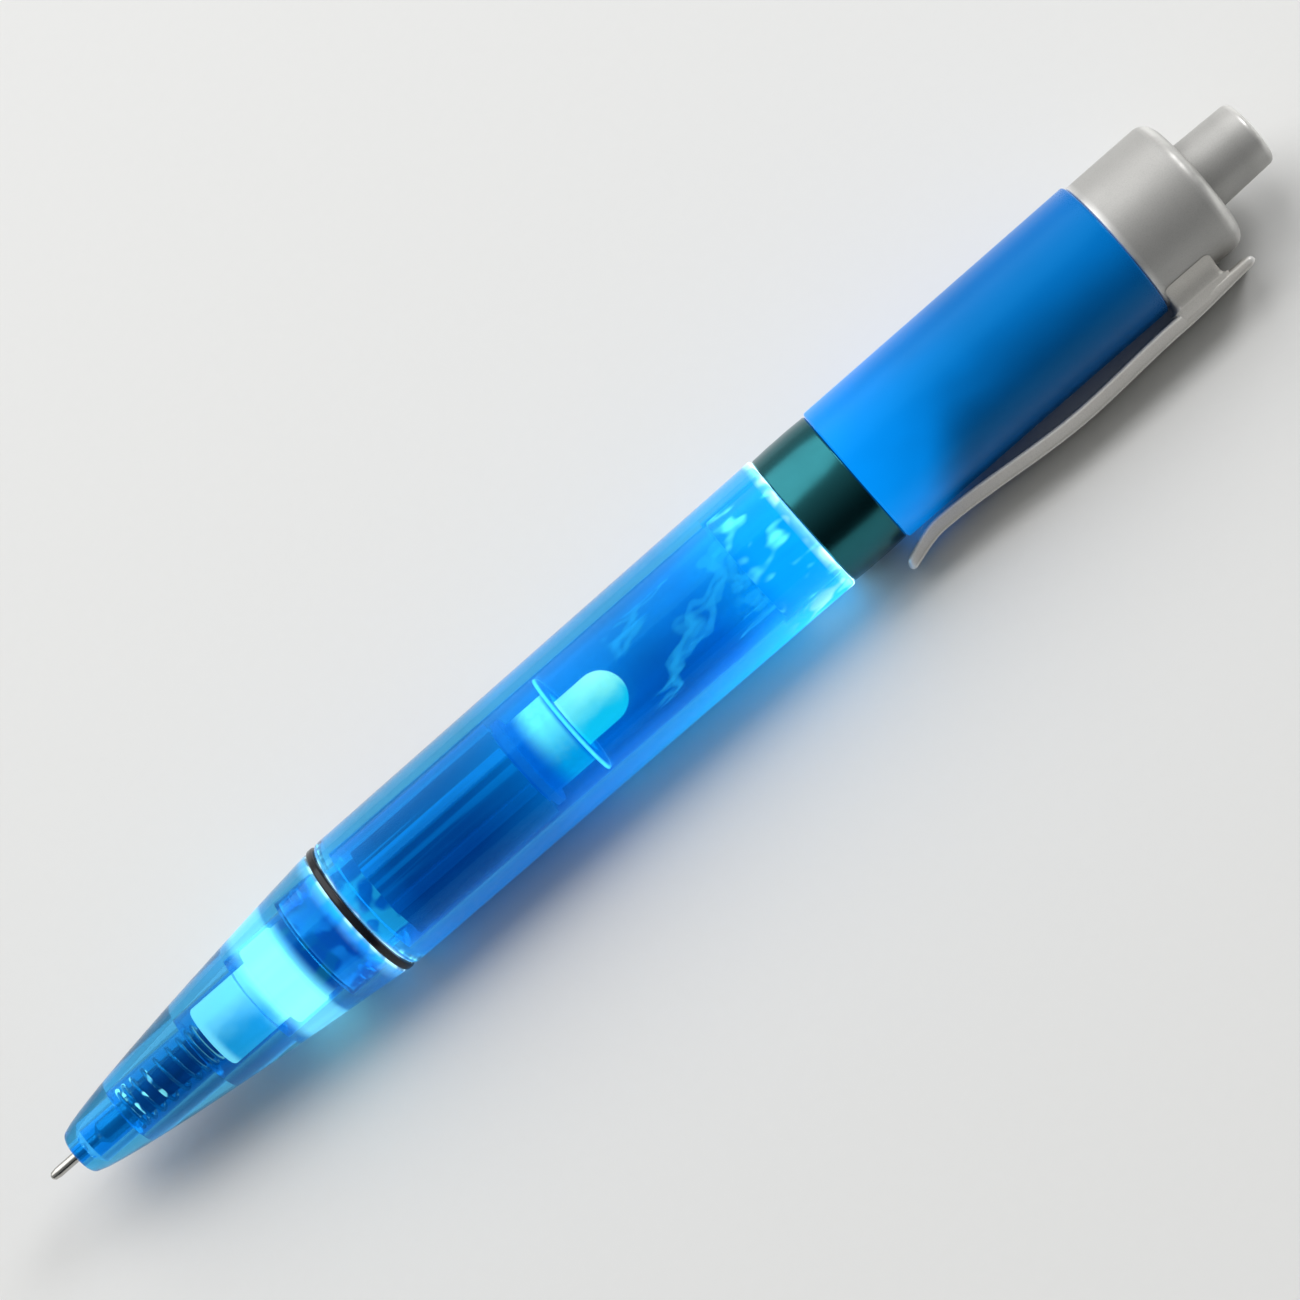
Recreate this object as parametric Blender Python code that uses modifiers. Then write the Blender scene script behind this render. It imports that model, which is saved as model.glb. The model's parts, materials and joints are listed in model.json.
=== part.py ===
"""Light-up click pen with a clear lit barrel, a button-cell lamp cartridge and an indexing click cam.

Runs in Blender 4.5; sizes are in metres. Each piece is built along the pen's own axis: heights run from the
nose rim at 0 towards the button, and the clip is on local +X. One empty then lays the pen on the ground plane,
along +X, resting on its barrel and on the edge of its clip. The pen is shown ready to write, with the point out.
"""

import math

import bmesh
import bpy
from mathutils import Matrix, Vector

# Clearances
SEAM_GAP = 0.0002  # between shells whose ends meet in the open
SEAT_GAP = 0.0003  # between a piece and its seat
RUN_GAP = 0.0003  # round a piece that slides or turns

# Click motion
CLICK_TRAVEL = 0.0045  # from writing to retracted
OVERTRAVEL = 0.0012  # past writing, while the button is pressed home

# Refill
NIB_OUT = 0.0034
BALL_D = 0.0007
BALL_PLAY = 0.00005
BALL_SHOWS = 0.00022
NEEDLE_WALL = 0.0001
POINT_D = 0.0023
STUB_LENGTH = 0.0030
INK_TUBE_D = 0.0030
INK_TUBE_WALL = 0.0004
REFILL_GRIP = 0.0062  # depth of the refill's hole behind the carrier's flange

# Return spring
SPRING_WIRE_D = 0.0004
SPRING_LENGTH = 0.0100
SPRING_TURNS = 9
SPRING_END_CROWDING = 0.45

# Nose cone
NOSE_LENGTH = 0.0335
NOSE_TIP_D = 0.0044
NOSE_SWELL = 0.73  # power of the outline: 1 is a plain cone, less is fuller near the tip
NOSE_INSET = 0.0001  # its rear rim below the barrel's surface
RIM_ROUND = 0.0006
THROAT_LENGTH = 0.0012
SPRING_SEAT_DEPTH = 0.0060
NOSE_SOCKET_DEPTH = 0.0045

# Refill carrier
NOZZLE_WALL = 0.00135
FLANGE_SETBACK = 0.0099  # from the nose's rear rim forward to the flange
FLANGE_LENGTH = 0.0035
FLANGE_LIP = 0.00025

# Joint ring
JOINT_RING_LENGTH = 0.0008

# Lower barrel
LOWER_LENGTH = 0.0520
LOWER_FRONT_WALL = 0.00145
LOWER_REAR_WALL = 0.00165
STEP_WALL = 0.0010  # material between the front shoulder and the bore's step
SPIGOT_WALL = 0.0006
REAR_SOCKET_DEPTH = 0.0067

# Cells and their tube
CELL_COUNT = 3
CELL_D = 0.0079
CELL_THICK = 0.0036
CELL_CAP_D = 0.0060
CELL_CAP_STEP = 0.0004
BATTERY_WALL = 0.0005
BATTERY_RIBS = 8
BATTERY_RIB_WIDTH = 0.0010
PLUG_DEPTH = 0.0012
CONTACT_SPRING_WIRE_D = 0.0003
CONTACT_SPRING_HEIGHT = 0.0008
CONTACT_SPRING_TURNS = 2
CONTACT_SPRING_TOP_D = 0.0026
CONTACT_THICK = 0.0003
STRIP_THICK = 0.0002
STRIP_WIDTH = 0.0016

# Lamp and its holder
LED_D = 0.0050
LED_HEIGHT = 0.0086
LED_FLANGE_LIP = 0.0004
LED_FLANGE_THICK = 0.0010
LED_SUNK = 0.0029  # base below the holder's plate
LEAD_D = 0.0005
LEAD_PITCH = 0.00254
HOLDER_LENGTH = 0.0058
HOLDER_WALL = 0.0006
HOLDER_RIM_LENGTH = 0.0008
HOLDER_SPIGOT_LENGTH = 0.0011
PLATE_THICK = 0.0006

# Push tube
LED_AIR = 0.0006  # between the lamp and the tube round it
PUSH_WALL = 0.0011

# Centre ring and upper barrel
CENTRE_RING_LENGTH = 0.0062
CENTRE_RING_WALL = 0.0011
CENTRE_RING_CROWN = 0.00006
UPPER_LENGTH = 0.0302
UPPER_WALL = 0.0013
UPPER_SPIGOT_WALL = 0.0011
SLEEVE_SEAT_WALL = 0.0020

# Click cam
SLEEVE_WALL = 0.0011
CAM_FINS = 4
RIB_LENGTH = 0.0056
RIB_WIDTH = 0.0012
SLANT_EXCESS = 1.13  # how much steeper the slanted ends are than the path of a fin that turns off its rib
FIN_SPARE = 0.0007
ROTOR_HEAD_D = 0.0068
ROTOR_STEM_LENGTH = 0.0070
PILOT_D = 0.0036
PILOT_LENGTH = 0.0050
CROWN_TEETH = 8
CROWN_HEIGHT = 0.0009
CROWN_ROOT = 0.0002

# Cap and button
CAP_LENGTH = 0.0091
CAP_INSET = 0.0003
CAP_ROUND = 0.0018
CAP_END_WALL = 0.0015
CAP_SPIGOT_LENGTH = 0.0045
BUTTON_D = 0.0070
BUTTON_END_D = 0.0066
BUTTON_OUT = 0.0066
BUTTON_ROUND = 0.0010
COLLAR_LENGTH = 0.0020

# Clip
FOOT_OVER_RING = 0.0019  # how far the foot's tip reaches forward of the upper barrel
CLIP_THICK = 0.0015
CLIP_TAIL_THICK = 0.0010
CLIP_ROOT_WIDTH = 0.0060
CLIP_FOOT_WIDTH = 0.0044
CLIP_EDGE = 0.0003
FOOT_GAP = 0.00025
FOOT_LENGTH = 0.0046
FOOT_CURL = 0.0013
FOOT_TIP_THICK = 0.0012
FOOT_TIP_NARROWING = 0.6
BOW_GAP = 0.0013
BOW_SETBACK = 0.0118  # of the highest place, forward of the cap
ROOT_GAP = 0.0009
ROOT_LEAD = 0.0010  # the leaf's blend into its bridge
BRIDGE_SETBACK = 0.0002
BRIDGE_LENGTH = 0.0051
TAIL_LENGTH = 0.0029
TONGUE_LENGTH = 0.0024
TONGUE_WIDTH = 0.0036
TONGUE_SETBACK = 0.0007  # of the tongue's end from the cap's bore

# Small edges and facets
EDGE_ROUND = 0.00025
SHELL_STEPS = 36
INNER_STEPS = 24
FINE_STEPS = 16
FILLET_STEPS = 2
DOME_STEPS = 6
NOSE_STATIONS = 8
COIL_POINTS_PER_TURN = 8
CLIP_CURVE_STEPS = 6
CUT_PAST = 0.0010  # how far a cutter runs past the wall that it opens
JOIN_DEPTH = 0.0004  # how far a joined feature sinks into its body

# Radii of the lamp cartridge and the shells, worked out from the cells outwards
cell_r = CELL_D / 2
battery_bore_r = cell_r + SEAT_GAP
battery_r = battery_bore_r + BATTERY_WALL
battery_rib_r = battery_r + SEAT_GAP + STRIP_THICK
plug_r = battery_bore_r - SEAT_GAP
lower_bore_r = battery_rib_r + RUN_GAP
lower_front_r = lower_bore_r + LOWER_FRONT_WALL
lower_rear_r = lower_bore_r + LOWER_REAR_WALL
flange_r = plug_r + FLANGE_LIP
spigot_bore_r = flange_r + RUN_GAP
spigot_r = spigot_bore_r + SPIGOT_WALL
nose_socket_r = spigot_r + SEAT_GAP
nose_rear_r = lower_front_r - NOSE_INSET
nose_tip_r = NOSE_TIP_D / 2

# Radii of the refill and its spring
ball_r = BALL_D / 2
ball_socket_r = ball_r + BALL_PLAY
needle_r = ball_socket_r + NEEDLE_WALL
throat_r = needle_r + RUN_GAP
point_r = POINT_D / 2
point_bore_r = point_r + RUN_GAP
ink_tube_r = INK_TUBE_D / 2
ink_bore_r = ink_tube_r - INK_TUBE_WALL
stub_r = ink_bore_r - SEAT_GAP
carrier_bore_r = ink_tube_r + SEAT_GAP
nozzle_r = carrier_bore_r + NOZZLE_WALL
nozzle_bore_r = nozzle_r + RUN_GAP
spring_coil_r = ink_tube_r + RUN_GAP + SPRING_WIRE_D / 2
spring_bore_r = spring_coil_r + SPRING_WIRE_D / 2 + RUN_GAP

# Radii of the lamp, the push tube, the click cam and the upper shells
led_r = LED_D / 2
led_flange_r = led_r + LED_FLANGE_LIP
lamp_pocket_r = led_flange_r + SEAT_GAP
holder_r = lamp_pocket_r + HOLDER_WALL
push_bore_r = led_r + LED_AIR
push_r = push_bore_r + PUSH_WALL
guide_r = push_r + RUN_GAP
upper_spigot_r = guide_r + UPPER_SPIGOT_WALL
ring_bore_r = upper_spigot_r + SEAT_GAP
ring_r = ring_bore_r + CENTRE_RING_WALL
sleeve_r = guide_r + SLEEVE_WALL
upper_bore_r = sleeve_r + SEAT_GAP
upper_r = upper_bore_r + UPPER_WALL
cap_r = upper_r - CAP_INSET
cap_spigot_r = upper_bore_r - SEAT_GAP
rotor_head_r = ROTOR_HEAD_D / 2
rotor_stem_r = push_bore_r - SEAT_GAP
rib_inner_r = rotor_head_r + RUN_GAP
rib_slope = SLANT_EXCESS * CLICK_TRAVEL / (rib_inner_r * math.pi / CAM_FINS)
pilot_r = PILOT_D / 2
pilot_bore_r = pilot_r + RUN_GAP
button_r = BUTTON_D / 2
button_hole_r = button_r + RUN_GAP
saddle_r = cap_r + SEAT_GAP

# Heights of the shells, from the nose rim
spigot_front = NOSE_LENGTH - NOSE_SOCKET_DEPTH + SEAT_GAP
joint_ring_front = NOSE_LENGTH + SEAM_GAP
lower_front = joint_ring_front + JOINT_RING_LENGTH + SEAM_GAP
lower_rear = lower_front + LOWER_LENGTH
bore_step = lower_front + STEP_WALL
rear_socket_front = lower_rear - REAR_SOCKET_DEPTH
ring_front = lower_rear + SEAM_GAP
upper_front = ring_front + CENTRE_RING_LENGTH + SEAM_GAP
upper_rear = upper_front + UPPER_LENGTH
sleeve_front = upper_front + SLEEVE_SEAT_WALL + SEAT_GAP
cap_front = upper_rear + SEAM_GAP
cap_rear = cap_front + CAP_LENGTH
cap_spigot_front = upper_rear - CAP_SPIGOT_LENGTH
cap_end_wall = cap_rear - CAP_END_WALL
sleeve_rear = cap_spigot_front - SEAT_GAP

# Heights of the refill and its carrier
ball_height = ball_r - NIB_OUT
point_shoulder = THROAT_LENGTH + OVERTRAVEL + RUN_GAP
point_rear = SPRING_SEAT_DEPTH + OVERTRAVEL + RUN_GAP
spring_front = SPRING_SEAT_DEPTH + SEAT_GAP
nozzle_front = spring_front + SPRING_LENGTH + SEAT_GAP
flange_front = NOSE_LENGTH - FLANGE_SETBACK
flange_rear = flange_front + FLANGE_LENGTH
refill_end = flange_rear + REFILL_GRIP

# Heights of the cells, contacts and lamp
battery_front = bore_step + OVERTRAVEL + RUN_GAP
plug_end = battery_front + PLUG_DEPTH
strip_leg = plug_end + SEAT_GAP
contact_spring_front = strip_leg + STRIP_THICK + SEAT_GAP
first_cell = contact_spring_front + CONTACT_SPRING_HEIGHT + SEAT_GAP
cell_pitch = CELL_THICK + SEAT_GAP
rear_contact_front = first_cell + CELL_COUNT * cell_pitch
holder_front = rear_contact_front + CONTACT_THICK + SEAT_GAP
battery_rear = holder_front + HOLDER_SPIGOT_LENGTH
holder_rim = battery_rear + SEAT_GAP
plate_rear = holder_rim + HOLDER_LENGTH
led_base = plate_rear - LED_SUNK
lamp_pocket = led_base - SEAT_GAP
lead_exit = holder_rim + HOLDER_RIM_LENGTH + LEAD_D / 2 + SEAT_GAP

# Heights of the click cam and the button
rib_front = sleeve_rear - RIB_LENGTH
slant_gap = SEAT_GAP * math.hypot(1, rib_slope)  # along the axis, for a seat gap square to the slanted ends
fin_rear = rib_front - slant_gap
fin_front = fin_rear - CLICK_TRAVEL - FIN_SPARE
push_front = plate_rear + SEAT_GAP
push_rear = fin_front - SEAT_GAP
crown_tip = fin_rear + CROWN_HEIGHT + RUN_GAP
pilot_rear = fin_rear + PILOT_LENGTH
button_end = cap_rear + BUTTON_OUT
collar_rear = cap_end_wall - CLICK_TRAVEL - SEAT_GAP
collar_front = collar_rear - COLLAR_LENGTH

# Places on the clip
foot_tip = upper_front - FOOT_OVER_RING
foot_valley = foot_tip + FOOT_LENGTH
bow_height = cap_front - BOW_SETBACK
bridge_front = cap_front + BRIDGE_SETBACK
bridge_rear = bridge_front + BRIDGE_LENGTH
bridge_middle = (bridge_front + bridge_rear) / 2
tail_end = bridge_rear + TAIL_LENGTH
valley_inner = upper_r + FOOT_GAP
bow_inner = upper_r + BOW_GAP
root_inner = upper_r + ROOT_GAP


def clip_half_width(height):
    """Half the clip's width: an even taper from the bridge to the foot, drawn in near the tip as a half ellipse."""
    along = (height - foot_tip) / (tail_end - foot_tip)
    half = (CLIP_FOOT_WIDTH + (CLIP_ROOT_WIDTH - CLIP_FOOT_WIDTH) * along) / 2
    from_tip = min(1.0, max(0.0, (height - foot_tip) / FOOT_LENGTH))
    return half * (1 - FOOT_TIP_NARROWING * (1 - math.sqrt(1 - (1 - from_tip) ** 2)))


# How the pen lies: the barrel touches the ground, and the clip's rounded edge touches it at the bow
rest_r = max(lower_rear_r, upper_r)
edge_out = bow_inner + CLIP_THICK - CLIP_EDGE
edge_side = clip_half_width(bow_height) - CLIP_EDGE
roll = math.asin((rest_r - CLIP_EDGE) / math.hypot(edge_out, edge_side)) - math.atan2(edge_side, edge_out)
clip_overhang = edge_out * math.cos(roll) + edge_side * math.sin(roll) + CLIP_EDGE


def clear_scene():
    for obj in list(bpy.data.objects):
        bpy.data.objects.remove(obj, do_unlink=True)


def new_collection(name, shown=True):
    collection = bpy.data.collections.new(name)
    bpy.context.scene.collection.children.link(collection)
    collection.hide_render = not shown
    return collection


def new_finish(name, colour, roughness, metallic=0.0, transmission=0.0, glow=0.0):
    material = bpy.data.materials.new(name)
    material.use_nodes = True
    material.diffuse_color = (*colour, 1)
    shader = material.node_tree.nodes["Principled BSDF"]
    shader.inputs["Base Color"].default_value = (*colour, 1)
    shader.inputs["Roughness"].default_value = roughness
    shader.inputs["Metallic"].default_value = metallic
    shader.inputs["Transmission Weight"].default_value = transmission
    shader.inputs["Emission Color"].default_value = (*colour, 1)
    shader.inputs["Emission Strength"].default_value = glow
    return material


def place(obj, material=None):
    """Puts an object in the pen's frame: a piece where a finish is given, and otherwise a hidden helper."""
    obj.parent = pen_frame
    if material:
        obj.data.materials.append(material)
        pieces.objects.link(obj)
    else:
        obj.hide_render = True
        obj.display_type = "WIRE"
        cutters.objects.link(obj)
    return obj


def realise(obj):
    """Replaces an object's modifiers or curve by the mesh that they make, with its doubled points merged."""
    bpy.context.view_layer.update()
    graph = bpy.context.evaluated_depsgraph_get()
    mesh = bpy.data.meshes.new_from_object(obj.evaluated_get(graph))
    shape = bmesh.new()
    shape.from_mesh(mesh)
    bmesh.ops.remove_doubles(shape, verts=shape.verts, dist=1e-7)
    shape.to_mesh(mesh)
    shape.free()
    return mesh


def smooth(mesh):
    mesh.shade_smooth()
    mesh.set_sharp_from_angle(angle=math.radians(35))


def rounded_corner(before, corner, after, radius):
    """Arc that rounds a corner, held to less than half of its shorter side."""
    to_before = before - corner
    to_after = after - corner
    half = to_before.angle(to_after) / 2
    reach = min(radius / math.tan(half), 0.45 * to_before.length, 0.45 * to_after.length)
    centre = corner + (to_before.normalized() + to_after.normalized()).normalized() * reach / math.cos(half)
    start = corner + to_before.normalized() * reach - centre
    turn = math.copysign(math.pi - 2 * half, to_after.cross(to_before))
    return [centre + Matrix.Rotation(turn * k / FILLET_STEPS, 2) @ start for k in range(FILLET_STEPS + 1)]


def profile_points(corners):
    """Points of a profile through (radius, height) corners; a third number rounds its corner."""
    points = []
    for i, corner in enumerate(corners):
        here = Vector(corner[:2])
        if len(corner) == 2:
            points.append(here)
        else:
            after = corners[(i + 1) % len(corners)]
            points += rounded_corner(Vector(corners[i - 1][:2]), here, Vector(after[:2]), corner[2])
    return points


def turned(name, corners, material=None, at=0.0, steps=INNER_STEPS):
    """Turned piece whose origin is on the axis at a height. Its profile runs down the outer side, top to bottom.

    A profile that begins and ends on the axis stays open, and any other is closed into a ring.
    """
    points = profile_points(corners)
    count = len(points)
    on_axis = points[0].x == 0 and points[-1].x == 0
    mesh = bpy.data.meshes.new(name)
    edges = [(i, (i + 1) % count) for i in range(count - 1 if on_axis else count)]
    mesh.from_pydata([(p.x, 0, p.y - at) for p in points], edges, [])
    obj = place(bpy.data.objects.new(name, mesh), material)
    obj.location.z = at
    screw = obj.modifiers.new("turn", "SCREW")
    screw.axis = "Z"
    screw.steps = steps
    screw.render_steps = steps
    screw.use_merge_vertices = True
    screw.merge_threshold = 1e-6
    obj.data = realise(obj)
    obj.modifiers.clear()
    smooth(obj.data)
    return obj


def wire(name, points, thickness, material):
    """Round wire along a list of points."""
    curve = bpy.data.curves.new(name, "CURVE")
    curve.dimensions = "3D"
    curve.bevel_depth = thickness / 2
    curve.bevel_resolution = 2
    curve.use_fill_caps = True
    spline = curve.splines.new("POLY")
    spline.points.add(len(points) - 1)
    for target, point in zip(spline.points, points):
        target.co = (*point, 1)
    return place(bpy.data.objects.new(name, curve), material)


def plate_from_outlines(name, outlines, thickness, turn, material=None):
    """Flat piece between outlines of (x, y) points; a third item names the handle of a curved point.

    Outlines inside the first one are holes. The plate is centred on its plane, which turn then stands up.
    """
    curve = bpy.data.curves.new(name, "CURVE")
    curve.dimensions = "2D"
    curve.fill_mode = "BOTH"
    curve.extrude = thickness / 2
    curve.resolution_u = CLIP_CURVE_STEPS
    for outline in outlines:
        spline = curve.splines.new("BEZIER")
        spline.use_cyclic_u = True
        spline.resolution_u = CLIP_CURVE_STEPS if any(len(point) > 2 for point in outline) else 1
        spline.bezier_points.add(len(outline) - 1)
        for target, point in zip(spline.bezier_points, outline):
            handle = point[2] if len(point) > 2 else "VECTOR"
            target.handle_left_type = handle
            target.handle_right_type = handle
            target.co = (point[0], point[1], 0)
    drawn = place(bpy.data.objects.new(name + "_outline", curve))
    mesh = realise(drawn)
    bpy.data.objects.remove(drawn)
    mesh.transform(turn.to_4x4())
    return place(bpy.data.objects.new(name, mesh), material)


def block(name, low, high):
    """Hidden box between two corners, in the pen's frame."""
    shape = bmesh.new()
    bmesh.ops.create_cube(shape, size=1)
    size = Vector(high) - Vector(low)
    middle = (Vector(high) + Vector(low)) / 2
    bmesh.ops.scale(shape, vec=size, verts=shape.verts)
    bmesh.ops.translate(shape, vec=middle, verts=shape.verts)
    mesh = bpy.data.meshes.new(name)
    shape.to_mesh(mesh)
    shape.free()
    return place(bpy.data.objects.new(name, mesh))


def slanted_bars(name, inner, outer, width, front, rear, front_slope, rear_slope):
    """Hidden ring of bars along the axis, one per cam fin, whose ends rise across their width by a slope."""
    shape = bmesh.new()
    for k in range(CAM_FINS):
        turn = Matrix.Rotation(math.tau * k / CAM_FINS, 3, "Z")
        for corner in bmesh.ops.create_cube(shape, size=1)["verts"]:
            side = corner.co.y * width
            reach = outer if corner.co.x > 0 else inner
            height = rear + rear_slope * side if corner.co.z > 0 else front + front_slope * side
            corner.co = turn @ Vector((reach, side, height))
    mesh = bpy.data.meshes.new(name)
    shape.to_mesh(mesh)
    shape.free()
    return place(bpy.data.objects.new(name, mesh))


def boolean(obj, other, operation):
    modifier = obj.modifiers.new(other.name, "BOOLEAN")
    modifier.operation = operation
    modifier.solver = "EXACT"
    modifier.object = other


def cut_crown(obj, height, depth):
    """Turns the flat rim at a height into a ring of V teeth, by a triangle wave round the axis."""
    rim = height - obj.location.z
    for vertex in obj.data.vertices:
        if abs(vertex.co.z - rim) < 1e-7 and vertex.co.xy.length > pilot_r / 2:
            phase = (math.atan2(vertex.co.y, vertex.co.x) / math.tau * CROWN_TEETH) % 1
            vertex.co.z += depth * (1 - abs(2 * phase - 1))
    smooth(obj.data)


def helix(start, length, turns, radius_at, crowding):
    """Points of a coil along the axis, closer together at its ends by a sine."""
    count = turns * COIL_POINTS_PER_TURN
    points = []
    for k in range(count + 1):
        along = k / count
        angle = math.tau * turns * along
        height = start + length * (along - crowding * math.sin(math.tau * along) / math.tau)
        radius = radius_at(along)
        points.append((radius * math.cos(angle), radius * math.sin(angle), height))
    return points


def nose_radius(height):
    """Outline of the nose, a power of the height."""
    return nose_tip_r + (nose_rear_r - nose_tip_r) * (height / NOSE_LENGTH) ** NOSE_SWELL


def build_refill():
    tip = ball_height - ball_r + BALL_SHOWS
    socket_floor = ball_height + ball_socket_r
    ball = [(0, ball_height + ball_r)]
    for k in range(1, DOME_STEPS):
        angle = math.pi * k / DOME_STEPS
        ball.append((ball_r * math.sin(angle), ball_height + ball_r * math.cos(angle)))
    ball.append((0, ball_height - ball_r))
    turned("writing_ball", ball, finish["steel"], ball_height, FINE_STEPS)
    turned(
        "refill_point",
        [
            (0, point_rear + STUB_LENGTH),
            (stub_r, point_rear + STUB_LENGTH),
            (stub_r, point_rear),
            (point_r, point_rear),
            (point_r, point_shoulder + point_r - needle_r),
            (needle_r, point_shoulder),
            (needle_r, socket_floor),
            (ball_socket_r + NEEDLE_WALL / 2, tip),
            (ball_socket_r, tip),
            (ball_socket_r, socket_floor),
            (0, socket_floor),
        ],
        finish["steel"],
        tip,
        FINE_STEPS,
    )
    turned(
        "ink_tube",
        [
            (ink_tube_r, refill_end - SEAT_GAP),
            (ink_tube_r, point_rear + SEAT_GAP),
            (ink_bore_r, point_rear + SEAT_GAP),
            (ink_bore_r, refill_end - SEAT_GAP),
        ],
        finish["ink"],
        point_rear,
    )
    coil = helix(
        spring_front + SPRING_WIRE_D / 2,
        SPRING_LENGTH - SPRING_WIRE_D,
        SPRING_TURNS,
        lambda along: spring_coil_r,
        SPRING_END_CROWDING,
    )
    wire("return_spring", coil, SPRING_WIRE_D, finish["steel"])
    turned(
        "refill_carrier",
        [
            (0, plug_end),
            (plug_r, plug_end, EDGE_ROUND),
            (plug_r, flange_rear),
            (flange_r, flange_rear, EDGE_ROUND),
            (flange_r, flange_front, EDGE_ROUND),
            (nozzle_r, flange_front),
            (nozzle_r, nozzle_front, EDGE_ROUND),
            (carrier_bore_r, nozzle_front),
            (carrier_bore_r, refill_end),
            (0, refill_end),
        ],
        finish["white"],
        nozzle_front,
    )


def build_nose():
    nozzle_room = nozzle_front - OVERTRAVEL - RUN_GAP
    flange_room = flange_front - OVERTRAVEL - RUN_GAP
    socket_front = NOSE_LENGTH - NOSE_SOCKET_DEPTH
    outer = [(nose_rear_r, NOSE_LENGTH, EDGE_ROUND)]
    for k in range(NOSE_STATIONS - 1, 0, -1):
        height = NOSE_LENGTH * k / NOSE_STATIONS
        outer.append((nose_radius(height), height))
    outer.append((nose_tip_r, 0, RIM_ROUND))
    inner = [
        (throat_r, 0),
        (throat_r, THROAT_LENGTH),
        (point_bore_r, THROAT_LENGTH + point_bore_r - throat_r),
        (point_bore_r, SPRING_SEAT_DEPTH),
        (spring_bore_r, SPRING_SEAT_DEPTH),
        (spring_bore_r, nozzle_room),
        (nozzle_bore_r, nozzle_room),
        (nozzle_bore_r, flange_room),
        (spigot_bore_r, flange_room),
        (spigot_bore_r, socket_front),
        (nose_socket_r, socket_front),
        (nose_socket_r, NOSE_LENGTH),
    ]
    turned("nose_cone", outer + inner, finish["clear"], 0, SHELL_STEPS)
    turned(
        "joint_ring",
        [
            (lower_front_r, joint_ring_front + JOINT_RING_LENGTH, EDGE_ROUND),
            (lower_front_r, joint_ring_front, EDGE_ROUND),
            (nose_socket_r, joint_ring_front),
            (nose_socket_r, joint_ring_front + JOINT_RING_LENGTH),
        ],
        finish["black"],
        joint_ring_front,
        SHELL_STEPS,
    )


def build_lower_barrel():
    turned(
        "lower_barrel",
        [
            (lower_rear_r, lower_rear, EDGE_ROUND),
            (lower_front_r, lower_front, EDGE_ROUND),
            (spigot_r, lower_front),
            (spigot_r, spigot_front, EDGE_ROUND),
            (spigot_bore_r, spigot_front),
            (spigot_bore_r, bore_step),
            (lower_bore_r, bore_step),
            (lower_bore_r, rear_socket_front),
            (ring_bore_r, rear_socket_front),
            (ring_bore_r, lower_rear),
        ],
        finish["clear"],
        lower_front,
        SHELL_STEPS,
    )
    turned(
        "centre_ring",
        [
            (ring_r, ring_front + CENTRE_RING_LENGTH, EDGE_ROUND),
            (ring_r + CENTRE_RING_CROWN, ring_front + CENTRE_RING_LENGTH / 2),
            (ring_r, ring_front, EDGE_ROUND),
            (ring_bore_r, ring_front),
            (ring_bore_r, ring_front + CENTRE_RING_LENGTH),
        ],
        finish["mirror"],
        ring_front,
        SHELL_STEPS,
    )


def build_cells():
    outer = []
    for k in range(BATTERY_RIBS):
        middle = math.tau * (k + 0.5) / BATTERY_RIBS
        for radius, side in ((battery_r, -1), (battery_rib_r, -1), (battery_rib_r, 1), (battery_r, 1)):
            angle = middle + side * math.asin(BATTERY_RIB_WIDTH / 2 / radius)
            outer.append((radius * math.cos(angle), radius * math.sin(angle)))
        valley = middle + math.pi / BATTERY_RIBS
        outer.append((battery_r * math.cos(valley), battery_r * math.sin(valley)))
    bore = []
    for k in range(INNER_STEPS):
        angle = math.tau * (k + 0.5) / INNER_STEPS
        bore.append((battery_bore_r * math.cos(angle), battery_bore_r * math.sin(angle)))
    tube = plate_from_outlines(
        "battery_tube", [outer, bore], battery_rear - battery_front, Matrix.Identity(3), finish["frost"]
    )
    tube.location.z = (battery_front + battery_rear) / 2
    notch_half = STRIP_WIDTH / 2 + SEAT_GAP
    notch = block(
        "strip_notch",
        (-notch_half, battery_bore_r / 2, battery_front - CUT_PAST),
        (notch_half, battery_rib_r + CUT_PAST, strip_leg + STRIP_THICK + SEAT_GAP),
    )
    boolean(tube, notch, "DIFFERENCE")
    for k in range(CELL_COUNT):
        front = first_cell + k * cell_pitch
        turned(
            f"button_cell_{k + 1}",
            [
                (0, front + CELL_THICK),
                (cell_r, front + CELL_THICK, EDGE_ROUND),
                (cell_r, front + CELL_CAP_STEP, EDGE_ROUND),
                (CELL_CAP_D / 2, front + CELL_CAP_STEP),
                (CELL_CAP_D / 2, front),
                (0, front),
            ],
            finish["steel"],
            front,
        )


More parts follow.
